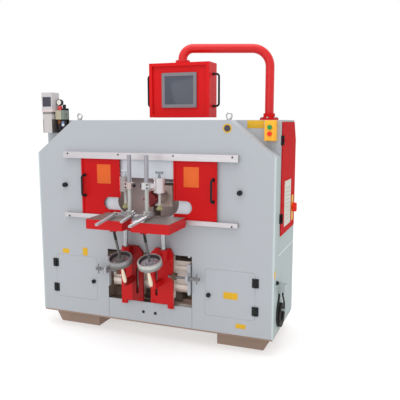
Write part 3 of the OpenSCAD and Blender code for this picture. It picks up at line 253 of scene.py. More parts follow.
def object_vector(tree, scale=(1, 1, 1)):
    """Object coordinates, stretched by a scale."""
    coordinates = tree.nodes.new("ShaderNodeTexCoord")
    mapping = tree.nodes.new("ShaderNodeMapping")
    mapping.inputs["Scale"].default_value = scale
    tree.links.new(coordinates.outputs["Object"], mapping.inputs["Vector"])
    return mapping.outputs["Vector"]


def use_group(tree, shader, group, strength, distance, **values):
    """Places a group, feeds its inputs by name and puts its colour, roughness and height on the shader."""
    node = tree.nodes.new("ShaderNodeGroup")
    node.node_tree = group
    for label, value in values.items():
        feed(tree, node.inputs[label], value(tree) if callable(value) else value)
    tree.links.new(node.outputs["Colour"], shader.inputs["Base Color"])
    tree.links.new(node.outputs["Roughness"], shader.inputs["Roughness"])
    bump = tree.nodes.new("ShaderNodeBump")
    bump.inputs["Strength"].default_value = strength
    bump.inputs["Distance"].default_value = distance
    tree.links.new(node.outputs["Height"], bump.inputs["Height"])
    tree.links.new(bump.outputs["Normal"], shader.inputs["Normal"])


print("materials so far:", len(coats))

# %% Paint and metal from the groups
PEEL_HEIGHT, LINE_HEIGHT, LINE_STRENGTH = 0.0004, 0.0002, 0.15


def paint(name, base, shade, mottle, dust_and_painted_shade, gloss=0.45, peel=0.12, coat=0.0, specular=0.2):
    """A painted or moulded surface. base and shade are colours, or functions of the tree."""
    tree, shader = new_material(name)
    use_group(tree, shader, paint_group, peel, PEEL_HEIGHT, Vector=object_vector(tree), Colour=base,
              Shade=shade, Mottle=mottle, Dust=dust_and_painted_shade, Gloss=gloss)
    shader.inputs["Specular IOR Level"].default_value = specular
    shader.inputs["Coat Weight"].default_value = coat


def metal(name, base, stain, amount, gloss, scale=(60, 900, 900), metallic=1.0):
    """A bare metal surface; scale is small along the cutter's lines. base may be a function of the tree."""
    tree, shader = new_material(name)
    use_group(tree, shader, metal_group, LINE_STRENGTH, LINE_HEIGHT, Vector=object_vector(tree, scale),
              Colour=base, Stain=stain, Amount=amount, Gloss=gloss)
    shader.inputs["Metallic"].default_value = metallic


print("orange peel is", PEEL_HEIGHT, "high, cutter lines are", LINE_HEIGHT)

# %% [markdown]
# ## Tints
# One solid often has several colours: a table has red edges and a bare top. The solids can't be cut up for
# it, so a tint mixes colours by masks, and a mask goes from 0 to 1 where a coordinate passes a limit.

# %% Masks
SOFT = 0.0004  # half the width of a mask's edge


def axes_of(tree):
    """The three object coordinates, one socket each."""
    split = tree.nodes.new("ShaderNodeSeparateXYZ")
    tree.links.new(object_vector(tree), split.inputs[0])
    return split.outputs["X"], split.outputs["Y"], split.outputs["Z"]


def unsigned(tree, value):
    """A value without its sign, so that both halves of the machine are alike."""
    return sums(tree, "ABSOLUTE", value)


def past(tree, value, limit, soft=SOFT):
    """A mask that goes from 0 to 1 where a value passes a limit."""
    return remap(tree, value, limit - soft, limit + soft)


def before(tree, value, limit, soft=SOFT):
    """A mask that goes from 1 to 0 where a value passes a limit."""
    return remap(tree, value, limit + soft, limit - soft)


def any_of(tree, *masks):
    """The largest of several masks."""
    return functools.reduce(lambda first, second: sums(tree, "MAXIMUM", first, second), masks)


def all_of(tree, *masks):
    """The smallest of several masks."""
    return functools.reduce(lambda first, second: sums(tree, "MINIMUM", first, second), masks)


def within(tree, value, low, high, soft=SOFT):
    """A mask that is 1 between two limits."""
    return all_of(tree, past(tree, value, low, soft), before(tree, value, high, soft))


def two_tone(axis, limit, first, second, soft=SOFT):
    """A tint with one colour up to a limit along axis 0, 1 or 2, and another colour past it."""
    return lambda tree: mixed(tree, past(tree, axes_of(tree)[axis], limit, soft), first, second)


print("masks are", SOFT, "soft")

# %% [markdown]
# ## The cabinet's paint
# The cabinet is folded sheet, sprayed light grey outside and only primed inside. A second material would need
# its faces picked by hand, while masks near the outer planes find the skin by themselves. The same way draws
# the seam, the casing's joint and the black hinge leaves.

# %% Tints of the cabinet
FRONT, WALL, ROOF, DOOR = -0.315, 0.875, 1.525, 0.8813  # outer faces of the cabinet and of its door
RED, BODY_GREY, BLACK = (188, 15, 19), (168, 172, 177), (24, 24, 26)
SKIN = 0.0025  # how far in from an outer face the outer coat reaches
PAINTED_LIGHT_EDGE = 0.012  # how softly the painted light behind the guards ends
SHOULDER, SHOULDER_REACH = (0.610, 0.792), 1.557  # the shoulder's plane: its normal (across, up) and distance
SLOPE, SLOPE_REACH = (0.894, 0.447), 0.899  # the rear slope's plane: its normal (back, up) and distance
WALL_SEAM = (0.6475, 0.6510)
CASING_JOINT = (-0.1925, -0.1890)
HINGE_LEAF = (0.733, 0.770)


def cabinet_tint(tree):
    """Light grey skin, painted light behind the guards, greener on the right wall, primer inside, black
    hinges.
    """
    x, y, z = axes_of(tree)
    side, depth = unsigned(tree, x), unsigned(tree, y)
    corner = weighted(tree, side, SHOULDER[0], z, SHOULDER[1])
    slope = weighted(tree, y, SLOPE[0], z, SLOPE[1])
    shoulder = all_of(tree, before(tree, y, -0.188), past(tree, corner, SHOULDER_REACH))
    skin = any_of(tree, past(tree, side, WALL - SKIN), past(tree, depth, -FRONT - SKIN),
                  past(tree, z, ROOF - SKIN), past(tree, slope, SLOPE_REACH), shoulder)
    # painted light: the guards shade the front behind them, so it is painted a lighter grey there and through
    # the windows
    between = all_of(tree, before(tree, side, 0.200, PAINTED_LIGHT_EDGE), within(tree, z, 0.882, 1.262, PAINTED_LIGHT_EDGE))
    windows = all_of(tree, before(tree, side, 0.316, PAINTED_LIGHT_EDGE), within(tree, z, 0.906, 1.004, PAINTED_LIGHT_EDGE))
    behind = all_of(tree, before(tree, y, FRONT + 0.0005), any_of(tree, between, windows))
    ends = past(tree, side, WALL - 0.0005)
    seam = all_of(tree, ends, past(tree, y, CASING_JOINT[1]), within(tree, z, *WALL_SEAM))
    joint = all_of(tree, ends, within(tree, y, *CASING_JOINT), past(tree, z, WALL_SEAM[1]))
    leaf = all_of(tree, before(tree, y, FRONT - 0.0007, 0.0002), within(tree, side, *HINGE_LEAF))
    # painted highlight: a paler strip along the bend between the front and the right wall
    painted_bend_highlight = all_of(tree, past(tree, side, 0.866, 0.004), before(tree, y, -0.300, 0.008))
    # primer, darker below 0.70 high: painted shade in the pit
    primer = mixed(tree, past(tree, z, 0.70, 0.05), (96, 84, 74), (164, 147, 142))
    front = mixed(tree, behind, BODY_GREY, (208, 212, 220))
    walls = mixed(tree, past(tree, x, WALL - 0.0005), front, (160, 172, 172))
    coat = mixed(tree, skin, primer, mixed(tree, painted_bend_highlight, walls, (186, 198, 200)))
    seamed = mixed(tree, joint, mixed(tree, seam, coat, (240, 244, 244)), (110, 122, 122))
    return mixed(tree, leaf, seamed, BLACK)


def cabinet_shade(tree):
    """The darker tone of the same coat."""
    return mixed(tree, 0.12, cabinet_tint(tree), (110, 112, 120))


print("tints of the cabinet ready")

# %% [markdown]
# ## Chamber and door
# Shade is painted where little light reaches: the rear panel, the spindle slide and the spindle head get
# darker near the chamber's top, and the beam's top and the slide are dark in the pit. Brushing that on by
# hand would need an unwrapped picture; a soft mask along one axis is enough.
# The door's hinge leaves stand a little proud of it, so the same kind of mask makes them black.

# %% Tints of the chamber


def panel_tint(tree):
    """Light grey outside; primer on the face that closes the chamber, with painted shade near its top."""
    _, y, z = axes_of(tree)
    # painted shade: the inner face darkens towards the chamber's top
    inner = mixed(tree, past(tree, z, 0.965, 0.100), (196, 177, 175), (84, 72, 75))
    return mixed(tree, past(tree, y, 0.3154, 0.0002), inner, BODY_GREY)


def ground_tint(tree, z, pale):
    """A pale ground face that gets browner low down."""
    return mixed(tree, before(tree, z, 0.372, 0.012), pale, (146, 126, 114))


def beam_tint(tree):
    """Pale ground faces, browner low down; painted shade on the top and the slide, in the pit and near the
    chamber's top.
    """
    _, y, z = axes_of(tree)
    # painted shade: the beam's top and the slide are dark in the pit, and the slide darkens again near the
    # chamber's top
    beam_top_and_slide = any_of(tree, past(tree, z, 0.5785), past(tree, y, -0.184))
    dust_and_painted_shade = mixed(tree, past(tree, z, 1.060, 0.045), (156, 140, 137), (84, 74, 78))
    dark = mixed(tree, past(tree, z, 0.75, 0.05), (84, 72, 61), dust_and_painted_shade)
    return mixed(tree, beam_top_and_slide, ground_tint(tree, z, (226, 216, 208)), dark)


door_tint = two_tone(0, DOOR + 0.0003, (186, 12, 16), BLACK, 0.0002)  # the hinge leaves stand proud
spindle_tint = two_tone(2, 0.980, (232, 212, 205), (164, 143, 137), 0.060)  # painted shade near the chamber's top
print("tints of the chamber ready")

# %% [markdown]
# ## Tables and carriages
# The tables are cast iron: red on the edges, bare on top and where they face each other. The carriages below
# are red plates on pale ground saddles. Limits on the machine's own axes tint them, so one function serves
# the left and the right one.

# %% Tints of the tables and carriages
TABLE_TOP = 0.895


def table_faces(tree, edge, side, top):
    """One tone for a table's edges, one for its inner side behind the fences' front ends, one for its top."""
    x, y, z = axes_of(tree)
    inner = all_of(tree, before(tree, unsigned(tree, x), 0.0305), past(tree, y, -0.490, 0.012))
    return mixed(tree, past(tree, z, TABLE_TOP - 0.0006), mixed(tree, inner, edge, side), top)


def table_tint(tree):
    """Red edges, bare iron between the tables and a bare grey top."""
    return table_faces(tree, RED, (186, 188, 196), (106, 98, 95))


def table_shade(tree):
    """A darker red, and the brown stains of the iron."""
    return table_faces(tree, (152, 10, 14), (136, 134, 138), (84, 76, 70))


def carriage_tint(tree):
    """Red plate with painted shade on the left one's inner half; pale saddle behind it; dark nut block
    outside.
    """
    x, y, z = axes_of(tree)
    # painted shade: the left carriage's inner half is a darker red
    red_plate_and_painted_shade = mixed(tree, within(tree, x, -0.112, 0.0), RED, (136, 12, 16))
    saddle = mixed(tree, past(tree, y, -0.3295), red_plate_and_painted_shade, ground_tint(tree, z, (216, 206, 198)))
    return mixed(tree, past(tree, unsigned(tree, x), 0.1953), saddle, (84, 76, 62))


print("table tops are at", TABLE_TOP)

# %% [markdown]
# ## Handwheels
# Each wheel is an iron dish with a turned rim, and it leans with its screw. Its object could be turned
# upright for the tint, but solids stay as they are, so the tint measures along the leaning axis instead.

# %% Tints of the handwheels
WHEEL_AT, LEAN = np.array([0.107, -0.522808, 0.633906]), math.radians(20)


def lean_axis(tree):
    """Where a point lies by a handwheel: along its leaning axis, and the distance from that axis."""
    x, y, z = axes_of(tree)
    across, y, z = (sums(tree, "SUBTRACT", value, float(middle))
                    for value, middle in zip((unsigned(tree, x), y, z), WHEEL_AT))
    along = weighted(tree, z, math.cos(LEAN), y, -math.sin(LEAN))
    up = weighted(tree, y, math.cos(LEAN), z, math.sin(LEAN))
    return along, sums(tree, "SQRT", weighted(tree, across, across, up, up))


def wheel_tint(tree):
    """Turned rim, painted highlight on its upper half; mottled dish, painted shadow by the rim; left wheel
    darker.
    """
    along, reach = lean_axis(tree)
    left = before(tree, axes_of(tree)[0], 0.0)
    # painted shade: the left wheel's dish is darker
    dish = mixed(tree, left, (184, 182, 190), (142, 141, 142))
    # painted shadow: a dark ring in the dish beside the rim
    dish = mixed(tree, past(tree, reach, 0.0610, 0.002), dish, (76, 69, 74))
    # the rim below its highlight, the left one darker as painted shade
    rim_below_highlight = mixed(tree, left, (140, 138, 135), (104, 102, 100))
    # painted highlight on the rim's upper half
    painted_rim_highlight = mixed(tree, left, (196, 197, 194), (150, 150, 152))
    rim = any_of(tree, past(tree, along, -0.0008), past(tree, reach, 0.0755))
    return mixed(tree, rim, dish, mixed(tree, past(tree, along, -0.022, 0.005), rim_below_highlight, painted_rim_highlight))


print("right handwheel at", WHEEL_AT)

# %% [markdown]
# ## Hold-downs
# An air cylinder beside a steel post presses the work down. Post, clamp and cylinder are one solid, so their
# height and their distance from the middle tell them apart.

# %% Tints of the hold-downs
CLAMP_LOW, CLAMP_MIDDLE, CLAMP_HIGH = 1.0812, 1.103, 1.1248


def hold_tint(tree):
    """Grey post, brighter below its clamp; cylinder outside it, left one in painted shade; clamp block, left
    one pinker.
    """
    x, _, z = axes_of(tree)
    right = past(tree, x, 0.0)
    post = mixed(tree, past(tree, z, CLAMP_MIDDLE), (182, 184, 180), (154, 154, 162))
    clamp = mixed(tree, right, (192, 172, 168), (198, 198, 198))
    # painted shade: the left cylinder is darker than the right
    cylinder = mixed(tree, right, (160, 148, 148), (208, 202, 205))
    block = within(tree, z, CLAMP_LOW, CLAMP_HIGH)
    return mixed(tree, past(tree, unsigned(tree, x), 0.0865), mixed(tree, block, post, clamp), cylinder)


pad_tint = two_tone(2, 0.9745, (150, 146, 104), (200, 200, 200))  # olive rubber under a steel stem
tee_tint = two_tone(0, 0.0, (182, 187, 195), (128, 136, 140))  # the left cylinder's fitting is paler
screw_tint = two_tone(2, 0.760, (112, 110, 110), (26, 26, 28))  # grey thread under a black sleeve
print("clamps are", round(CLAMP_HIGH - CLAMP_LOW, 4), "high")

# %% [markdown]
# ## Pump and air unit
# The pump has a cloudy tank, and the air unit a cast block over smoky bowls. Clear plastic could be made with
# transmission, but at this size a tinted level of oil looks the same and renders without grain.

# %% Tints of the pump and the air unit


def tank_tint(tree):
    """Cloudy plastic with painted shade under the lip and down its right side, and a dark strip along its
    left edge.
    """
    x, _, z = axes_of(tree)
    cloudy = mixed(tree, past(tree, z, 1.568, 0.004), (190, 186, 187), (104, 100, 98))
    # painted shade down the tank's right side; a dark strip along its left edge
    edges = any_of(tree, past(tree, x, -0.7724), before(tree, x, -0.8425))
    return mixed(tree, all_of(tree, edges, before(tree, z, 1.532)), cloudy, (44, 40, 36))


def air_tint(tree):
    """Cream cast block, green-grey at its right end, over smoky bowls, one with oil; dark back plate."""
    x, y, z = axes_of(tree)
    front = before(tree, y, -0.1965)
    block = all_of(tree, within(tree, z, 1.5305, 1.5965), front)
    cast = mixed(tree, past(tree, x, -0.714, 0.002), (190, 182, 158), (128, 140, 130))
    oil = all_of(tree, within(tree, z, 1.502, 1.524, 0.002), before(tree, x, -0.7245), front)
    return mixed(tree, block, mixed(tree, oil, (40, 38, 40), (134, 78, 26)), cast)


head_tint = two_tone(2, 1.5994, (212, 194, 196), (190, 186, 188))  # grey pump head over a paler lip
tag_tint = two_tone(2, 1.501, (206, 210, 222), (96, 118, 158))  # a blue field over a white one
print("tints of the small units ready")

# %% [markdown]
# ## Finishes
# The cabinet, guards and pendant are sprayed, the small units are moulded, and fences and screws are bare
# metal. Each finish could be set by hand in the shader editor, but in one list the tones can be judged side
# by side. A line gives a name, a colour and its darker tone. For paint the next numbers say how much the
# tone varies, how dusty it is low down and how rough; for metal, how stained and how rough it is.

# %% Paint and plastic
paint("cabinet_paint", cabinet_tint, cabinet_shade, 0.35, 0.1)
paint("panel_paint", panel_tint, (150, 146, 146), 0.35, 0.1)
paint("red_paint", RED, (164, 11, 15), 0.3, 0.05, 0.4, specular=0.12)
paint("pendant_red", (200, 17, 21), (180, 13, 17), 0.3, 0.0, 0.4, specular=0.12)
paint("arm_red", (200, 17, 21), (180, 13, 17), 0.3, 0.0, 0.35, specular=0.4)
paint("door_red", door_tint, (150, 10, 14), 0.25, 0.05, 0.5, specular=0.02)
paint("table_paint", table_tint, table_shade, 0.5, 0.0, 0.4)
paint("carriage_paint", carriage_tint, (140, 18, 20), 0.3, 0.0, 0.4)
paint("base_paint", (154, 131, 118), (126, 106, 94), 0.5, 0.1, 0.6, peel=0.25)
paint("beam_paint", beam_tint, (150, 138, 130), 0.35, 0.1, 0.5)
paint("head_paint", spindle_tint, (156, 138, 132), 0.4, 0.0, 0.5)
paint("cutter_red", (126, 40, 43), (86, 28, 31), 0.5, 0.0, 0.35)
paint("black_plastic", (22, 22, 24), (40, 40, 43), 0.4, 0.0, 0.42, peel=0.3)
paint("cable_rubber", (20, 20, 21), (44, 44, 44), 0.5, 0.1, 0.5, peel=0.3)
paint("vent_plastic", (198, 198, 188), (180, 181, 172), 0.4, 0.0, 0.5)
paint("box_grey", (168, 178, 178), (146, 154, 154), 0.4, 0.1)
paint("grip_cream", (224, 210, 188), (198, 182, 156), 0.4, 0.0, 0.3, peel=0.05, coat=0.2)
paint("pad_rubber", pad_tint, (136, 132, 96), 0.4, 0.0, peel=0.2)
paint("switch_yellow", (243, 178, 52), (224, 156, 40), 0.35, 0.0, 0.4)
paint("label_yellow", (210, 166, 40), (180, 134, 34), 0.4, 0.0, 0.4)
paint("label_orange", (214, 96, 34), (190, 74, 26), 0.4, 0.0, 0.4)
paint("button_green", (34, 138, 78), (22, 112, 60), 0.3, 0.0, 0.3)
paint("button_red", (224, 44, 26), (190, 28, 18), 0.3, 0.0, 0.3)
paint("lube_grey", head_tint, (170, 165, 167), 0.4, 0.0, 0.4)
paint("lube_panel", (72, 68, 80), (54, 50, 60), 0.4, 0.0, 0.35)
paint("tank_plastic", tank_tint, (164, 158, 154), 0.5, 0.0, 0.4)
paint("air_metal", air_tint, (60, 58, 56), 0.4, 0.0, 0.4)
paint("tee_grey", tee_tint, (112, 118, 122), 0.3, 0.0, 0.4)
paint("screen_grey", (120, 116, 122), (100, 97, 102), 0.3, 0.0, 0.42)
paint("screen_glass", (70, 74, 86), (52, 54, 64), 0.5, 0.0, 0.12, peel=0.0, coat=0.4)
paint("gauge_white", (226, 224, 216), (204, 200, 190), 0.3, 0.0, 0.3)
paint("tag_print", tag_tint, (150, 160, 180), 0.2, 0.0, 0.4)
paint("cap_red", (206, 70, 74), (170, 48, 54), 0.4, 0.0, 0.3)
print("paints:", len(coats))

# %% Bare metal
UPRIGHT_LINES, EVEN_LINES = (700, 700, 60), (400, 400, 400)

metal("rail_aluminium", (198, 194, 197), (168, 162, 166), 0.4, 0.34, metallic=0.8)
metal("fence_steel", (170, 170, 175), (108, 106, 110), 0.5, 0.45, metallic=0.3)
metal("bright_steel", (190, 189, 191), (128, 125, 126), 0.5, 0.24, UPRIGHT_LINES)
metal("post_steel", hold_tint, (128, 125, 127), 0.35, 0.35, UPRIGHT_LINES, 0.5)
metal("screw_steel", (132, 131, 134), (84, 82, 82), 0.5, 0.4, UPRIGHT_LINES, 0.5)
metal("column_chrome", (172, 173, 176), (130, 130, 134), 0.4, 0.12, (500, 500, 60))
metal("bolt_black", (62, 60, 60), (38, 37, 38), 0.5, 0.35, EVEN_LINES)
metal("bolt_zinc", (182, 180, 176), (128, 122, 116), 0.5, 0.3, EVEN_LINES)
metal("wheel_iron", wheel_tint, (104, 102, 102), 0.55, 0.4, (300, 300, 300), 0.35)
metal("screw_black", screw_tint, (40, 40, 42), 0.5, 0.36, (200, 200, 200), 0.6)
print("paints and metals:", len(coats))

# %% Finishes on the solids
SIDES = (("left", -1), ("right", 1))

own_finish = {"pendant_base": "pendant_red", "pendant_arm": "arm_red", "pendant_box": "pendant_red",
              "electrical_door": "door_red", "cable_gland": "box_grey", "spindle_head": "head_paint",
              "rear_panel": "panel_paint"}
for side, _ in SIDES:
    own_finish.update({side + "_table": "table_paint", side + "_carriage": "carriage_paint",
                       side + "_hold_down": "post_steel", side + "_fence": "fence_steel"})
for entry in frame["record"]["subparts"]:
    materials = nodes[entry["node"]].data.materials
    materials.clear()
    materials.append(coats[own_finish.get(entry["node"], entry["material_slot"])])
print("solids with a finish of their own:", len(own_finish))

# %% [markdown]
# ## Shapes
# Every new piece is a surface over a grid of two parameters: a formula gives all its points at once, and the
# helpers close the grid, place it on a face of the machine and make the mesh. Modelling by hand could give
# the same meshes, but with a formula each measure can be read and changed.

# %% Grids


def grid_quads(rows, columns, wrap_rows=False):
    """Quads of a grid whose columns close on themselves: (i, j), (i, j+1), (i+1, j+1), (i+1, j)."""
    i = np.arange(rows if wrap_rows else rows - 1)[:, None]
    j = np.arange(columns)[None, :]
    k = (j + 1) % columns
    n = (i + 1) % rows
    return np.stack([i * columns + j, i * columns + k, n * columns + k, n * columns + j], -1).reshape(-1, 4)


def closed_grid(points):
    """A grid of rings (rows, columns, 3) as vertices and faces, with the first and last ring capped flat."""
    rows, columns = points.shape[:2]
    caps = [list(range(columns))[::-1], list(range((rows - 1) * columns, rows * columns))]
    return points.reshape(-1, 3), grid_quads(rows, columns).tolist() + caps


print("a grid of 3 by 8 has", len(grid_quads(3, 8)), "quads")

# %% Places on the machine
FACES = {  # two directions in each face, and its outward one
    "front": np.array([[1, 0, 0], [0, 0, 1], [0, -1, 0]], float),
    "rear": np.array([[-1, 0, 0], [0, 0, 1], [0, 1, 0]], float),
    "right": np.array([[0, 1, 0], [0, 0, 1], [1, 0, 0]], float),
    "left": np.array([[0, -1, 0], [0, 0, 1], [-1, 0, 0]], float),
    "top": np.array([[1, 0, 0], [0, 1, 0], [0, 0, 1]], float),
}


def placed(shape, at, face):
    """Moves a shape from local (a, b, c) to at + a e1 + b e2 + c n of a face of the machine."""
    points, faces = shape
    axes = FACES[face] if isinstance(face, str) else np.asarray(face, float)
    return np.asarray(at, float) + points @ axes, faces


def joined(shapes):
    """Several shapes as one: vertices stacked and each face's numbers moved up by those before it."""
    points, faces, start = [], [], 0
    for p, f in shapes:
        points.append(p)
        faces += [[v + start for v in face] for face in f]
        start += len(p)
    return np.concatenate(points), faces


print("faces:", *FACES)

# %% Pieces
SHARP_EDGE = 35  # degrees between faces


def piece(name, shape, body, finish, slot, smooth=True):
    """Makes the mesh object at the origin, lets it ride on its body and gives it its finish."""
    points, faces = shape
    mesh = bpy.data.meshes.new(name)
    mesh.from_pydata(points.tolist(), [], faces)
    mesh.materials.append(coats[finish])
    if smooth:
        mesh.shade_smooth()
        mesh.set_sharp_from_angle(angle=math.radians(SHARP_EDGE))
    made = bpy.data.objects.new(name, mesh)
    bpy.context.scene.collection.objects.link(made)
    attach(made, body)
    return made


print("edges over", SHARP_EDGE, "degrees stay sharp")

# %% [markdown]
# ## The cable on the right wall
# A spare length of black cable hangs on a peg as a flat round coil, in two layers, with both ends going up to
# a gland box. A curve with a bevel would do, but one tube, a circle carried along the solid's route, is a
# plain mesh whose path can be measured.

# %% Tubes


def smooth_path(points, steps):
    """Catmull-Rom curve: cubics in t from point to point, each slope half the step between its neighbours."""
    p = np.concatenate([[2 * points[0] - points[1]], points, [2 * points[-1] - points[-2]]])
    t = np.linspace(0, 1, steps, endpoint=False)[None, :, None]
    a, b, c, d = (p[i:len(p) - 3 + i, None] for i in range(4))
    curve = 0.5 * (2 * b + (c - a) * t + (2 * a - 5 * b + 4 * c - d) * t ** 2
                   + (3 * b - a - 3 * c + d) * t ** 3)
    return np.concatenate([curve.reshape(-1, 3), points[-1:]])


def tube(path, radius, sides=12, across=(1, 0, 0)):
    """A circle carried along a path: P = path + r (cos v U + sin v V), U across the path's direction."""
    along = np.gradient(path, axis=0)
    along /= np.linalg.norm(along, axis=1, keepdims=True)
    u = np.cross(along, np.asarray(across, float))
    u /= np.linalg.norm(u, axis=1, keepdims=True)
    v = np.cross(along, u)
    turn = np.linspace(0, 2 * np.pi, sides, endpoint=False)[None, :, None]
    return closed_grid(path[:, None] + radius * (np.cos(turn) * u[:, None] + np.sin(turn) * v[:, None]))


print("tubes can be drawn")

# %% Cable
COIL_AT = np.array([0.8813, -0.140, 0.240])
TURNS, POINTS_PER_TURN = 2.75, 36  # turns in each of the two layers
SPACING, INNER_RADIUS, LAYER = 0.0128, 0.0468, 0.013
RISE_MM = [[82, 12], [82, 26], [80, 44], [72, 66], [58, 86], [42, 104], [30, 122], [24, 138], [24, 150]]

t = np.linspace(0, 2 * TURNS, int(2 * TURNS * POINTS_PER_TURN) + 1)
climb = np.clip((t - TURNS) / 0.5 + 0.5, 0, 1)
depth = LAYER * climb ** 2 * (3 - 2 * climb)
reach = INNER_RADIUS + SPACING * np.abs(t - TURNS)
angle = np.pi + 2 * np.pi * t
coil = COIL_AT + np.stack([depth, reach * np.cos(angle), reach * np.sin(angle)], -1)
rise = smooth_path(np.column_stack([np.zeros(len(RISE_MM)), np.array(RISE_MM) / 1000]), 4)
left_rise = COIL_AT + rise * [1, -1, 1]
right_rise = COIL_AT + rise + [LAYER, 0, 0]
cable_path = np.concatenate([left_rise[::-1], coil, right_rise])
cable = piece("wall_cable", tube(cable_path, 0.006), "cabinet", "cable_rubber", "cable_rubber")
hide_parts("cable_leads", "cable_coil")

# %% [markdown]
# ## Screws with real threads
# The tables tilt on leaning two-start screws, and the carriages move on cross screws. A thread is a radius
# that depends on both the turn and the height, so it is one function on a grid: cheaper and cleaner than
# carrying a profile along a helix.

# %% Turned forms


def directions(u):
    """Unit vectors (cos u, sin u)."""
    return np.column_stack([np.cos(u), np.sin(u)])


def circle(count):
    """Points round the unit circle in equal steps."""
    return directions(np.linspace(0, 2 * np.pi, count, endpoint=False))


def lathe(profile, sides=32):
    """Turned form: profile (radius, height) carried round the third axis. P = (r cos u, r sin u, h)."""
    profile = np.asarray(profile, float)
    flat = profile[:, None, :1] * circle(sides)[None]
    high = np.broadcast_to(profile[:, None, 1:], flat.shape[:2] + (1,))
    return closed_grid(np.concatenate([flat, high], -1))


print("a plain turned pin has", len(lathe([(1, 0), (1, 1)])[1]), "faces")

# %% Threads
ROD_RADIUS, PITCH = 0.0088, 0.005
EYE_ALONG = 0.214  # from the wheel to the pin's eye


def threaded_rod(radius, depth, pitch, starts, low, high, sides=36):
    """r(u, z) = radius - depth ramp(s), s the saw of z / pitch - starts u / 2 pi, flat at crest and root."""
    z = np.linspace(low, high, int((high - low) / pitch * 8) + 1)
    u = np.linspace(0, 2 * np.pi, sides, endpoint=False)
    saw = (z[:, None] / pitch - starts * u[None] / (2 * np.pi)) % 1.0
    ramp = np.clip((np.abs(2 * saw - 1) - 0.25) / 0.4, 0, 1)
    r = radius - depth * ramp
    high_z = np.broadcast_to(z[:, None], r.shape)
    return closed_grid(np.stack([r * np.cos(u), r * np.sin(u), high_z], -1))


screw_axes = [[1, 0, 0], [0, math.cos(LEAN), math.sin(LEAN)], [0, -math.sin(LEAN), math.cos(LEAN)]]
eye_at = WHEEL_AT + EYE_ALONG * np.array(screw_axes[2])
rod = threaded_rod(ROD_RADIUS, 0.0014, PITCH, 2, -0.060, 0.136)
sleeve = lathe([(0.0085, 0.134), (0.0090, 0.1345), (0.0090, 0.206), (0.0070, 0.2065)])
eye = lathe([(0.0060, -0.0183), (0.0060, -0.0100), (0.0112, -0.0100), (0.0120, -0.0092), (0.0120, 0.0092),
             (0.0112, 0.0100), (0.0060, 0.0100), (0.0060, 0.0183)])
for side, sign in SIDES:
    mirror = np.array([sign, 1, 1])
    shape = joined([placed(rod, WHEEL_AT * mirror, screw_axes), placed(sleeve, WHEEL_AT * mirror, screw_axes),
                    placed(eye, eye_at * mirror, "right")])
    made = piece(side + "_tilt_thread", shape, side + "_tilt_screw", "screw_black", "screw_black")
    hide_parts(side + "_tilt_screw")
    print(made.name, len(made.data.polygons))

# %% Cross screws
CROSS_Y, CROSS_Z, BAR_X = -0.360, 0.488, 0.370


def at_level(flat, level):
    """Flat points (a, b) as points (a, b, level)."""
    return np.column_stack([flat, np.full(len(flat), level)])


def knurled(radius, low, high, teeth, depth, ease=0.002):
    """A round knob with ridges: r(u) = radius - depth |sin(teeth u / 2)|, eased at both ends."""
    u = np.linspace(0, 2 * np.pi, teeth * 6, endpoint=False)
    ridge = radius - depth * np.abs(np.sin(teeth * u / 2))
    rings = [(0.90, low), (1.0, low + ease), (1.0, high - ease), (0.90, high)]
    ring = directions(u)
    return closed_grid(np.array([at_level((share * ridge)[:, None] * ring, z) for share, z in rings]))


rod = threaded_rod(ROD_RADIUS, 0.0013, PITCH, 1, 0.168, 0.289)
stem = lathe([(0.0085, 0.289), (0.0140, 0.2897), (0.0140, 0.2977), (0.0090, 0.2977), (0.0090, 0.3143),
              (0.0140, 0.3143), (0.0140, 0.3223), (0.0090, 0.3223), (0.0090, 0.353)])
bar = lathe([(0.0038, -0.035), (0.0045, -0.0342), (0.0045, 0.0342), (0.0038, 0.035)], 20)
screw = joined([rod, stem, knurled(0.013, 0.352, 0.388, 24, 0.0012)])
for side, sign in SIDES:
    shape = joined([placed(screw, (0, CROSS_Y, CROSS_Z), side),
                    placed(bar, (BAR_X * sign, CROSS_Y, CROSS_Z), "top")])
    made = piece(side + "_cross_thread", shape, side + "_cross_screw", "screw_steel", "bright_steel")
    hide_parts(side + "_cross_screw")
    print(made.name, len(made.data.polygons))

# %% [markdown]
# ## Label plates
# Plain coloured plates mark the guards and the cabinet. A mask in the paint could show them, but a thin
# rounded slab has an edge that catches the light, and it moves with its guard or door.

# %% Flat plates
SMALLEST_RADIUS, PLATE_THICK, PLATE_RADIUS = 1e-4, 0.0008, 0.003


def rounded_outline(width, height, radius, per_corner=6):
    """Points round a rectangle with round corners: corner centre plus radius times (cos, sin)."""
    corner = np.repeat(np.arange(4), per_corner)
    step = np.tile(np.linspace(0, 1, per_corner), 4)
    angle = (corner + step) * np.pi / 2
    sign = np.array([[1, 1], [-1, 1], [-1, -1], [1, -1]])[corner]
    centre = sign * np.array([width / 2 - radius, height / 2 - radius])
    return centre + radius * directions(angle)


def slab(width, height, thick, radius, edge=0.0006):
    """Flat plate with round corners and an eased front edge: outlines drawn in by the edge, set forward."""
    levels = [(0, 0), (0, thick - edge), (0.3 * edge, thick - 0.3 * edge), (edge, thick)]
    rings = [at_level(rounded_outline(width - 2 * inset, height - 2 * inset,
                                      max(radius - inset, SMALLEST_RADIUS)), level)
             for inset, level in levels]
    return closed_grid(np.array(rings))


def plate(name, size, at, face, body, finish, slot, thick=PLATE_THICK, radius=PLATE_RADIUS):
    """A thin slab with its middle at a place on a face."""
    return piece(name, placed(slab(*size, thick, radius), at, face), body, finish, slot)


print("a plate has", len(slab(0.1, 0.1, 0.001, 0.003)[1]), "faces")

# %% Label plates
GUARD_FRONT = -0.334
YELLOW = ("label_yellow", "switch_yellow")  # a finish and its slot
BADGE_AT = (0.560, FRONT, 1.473)

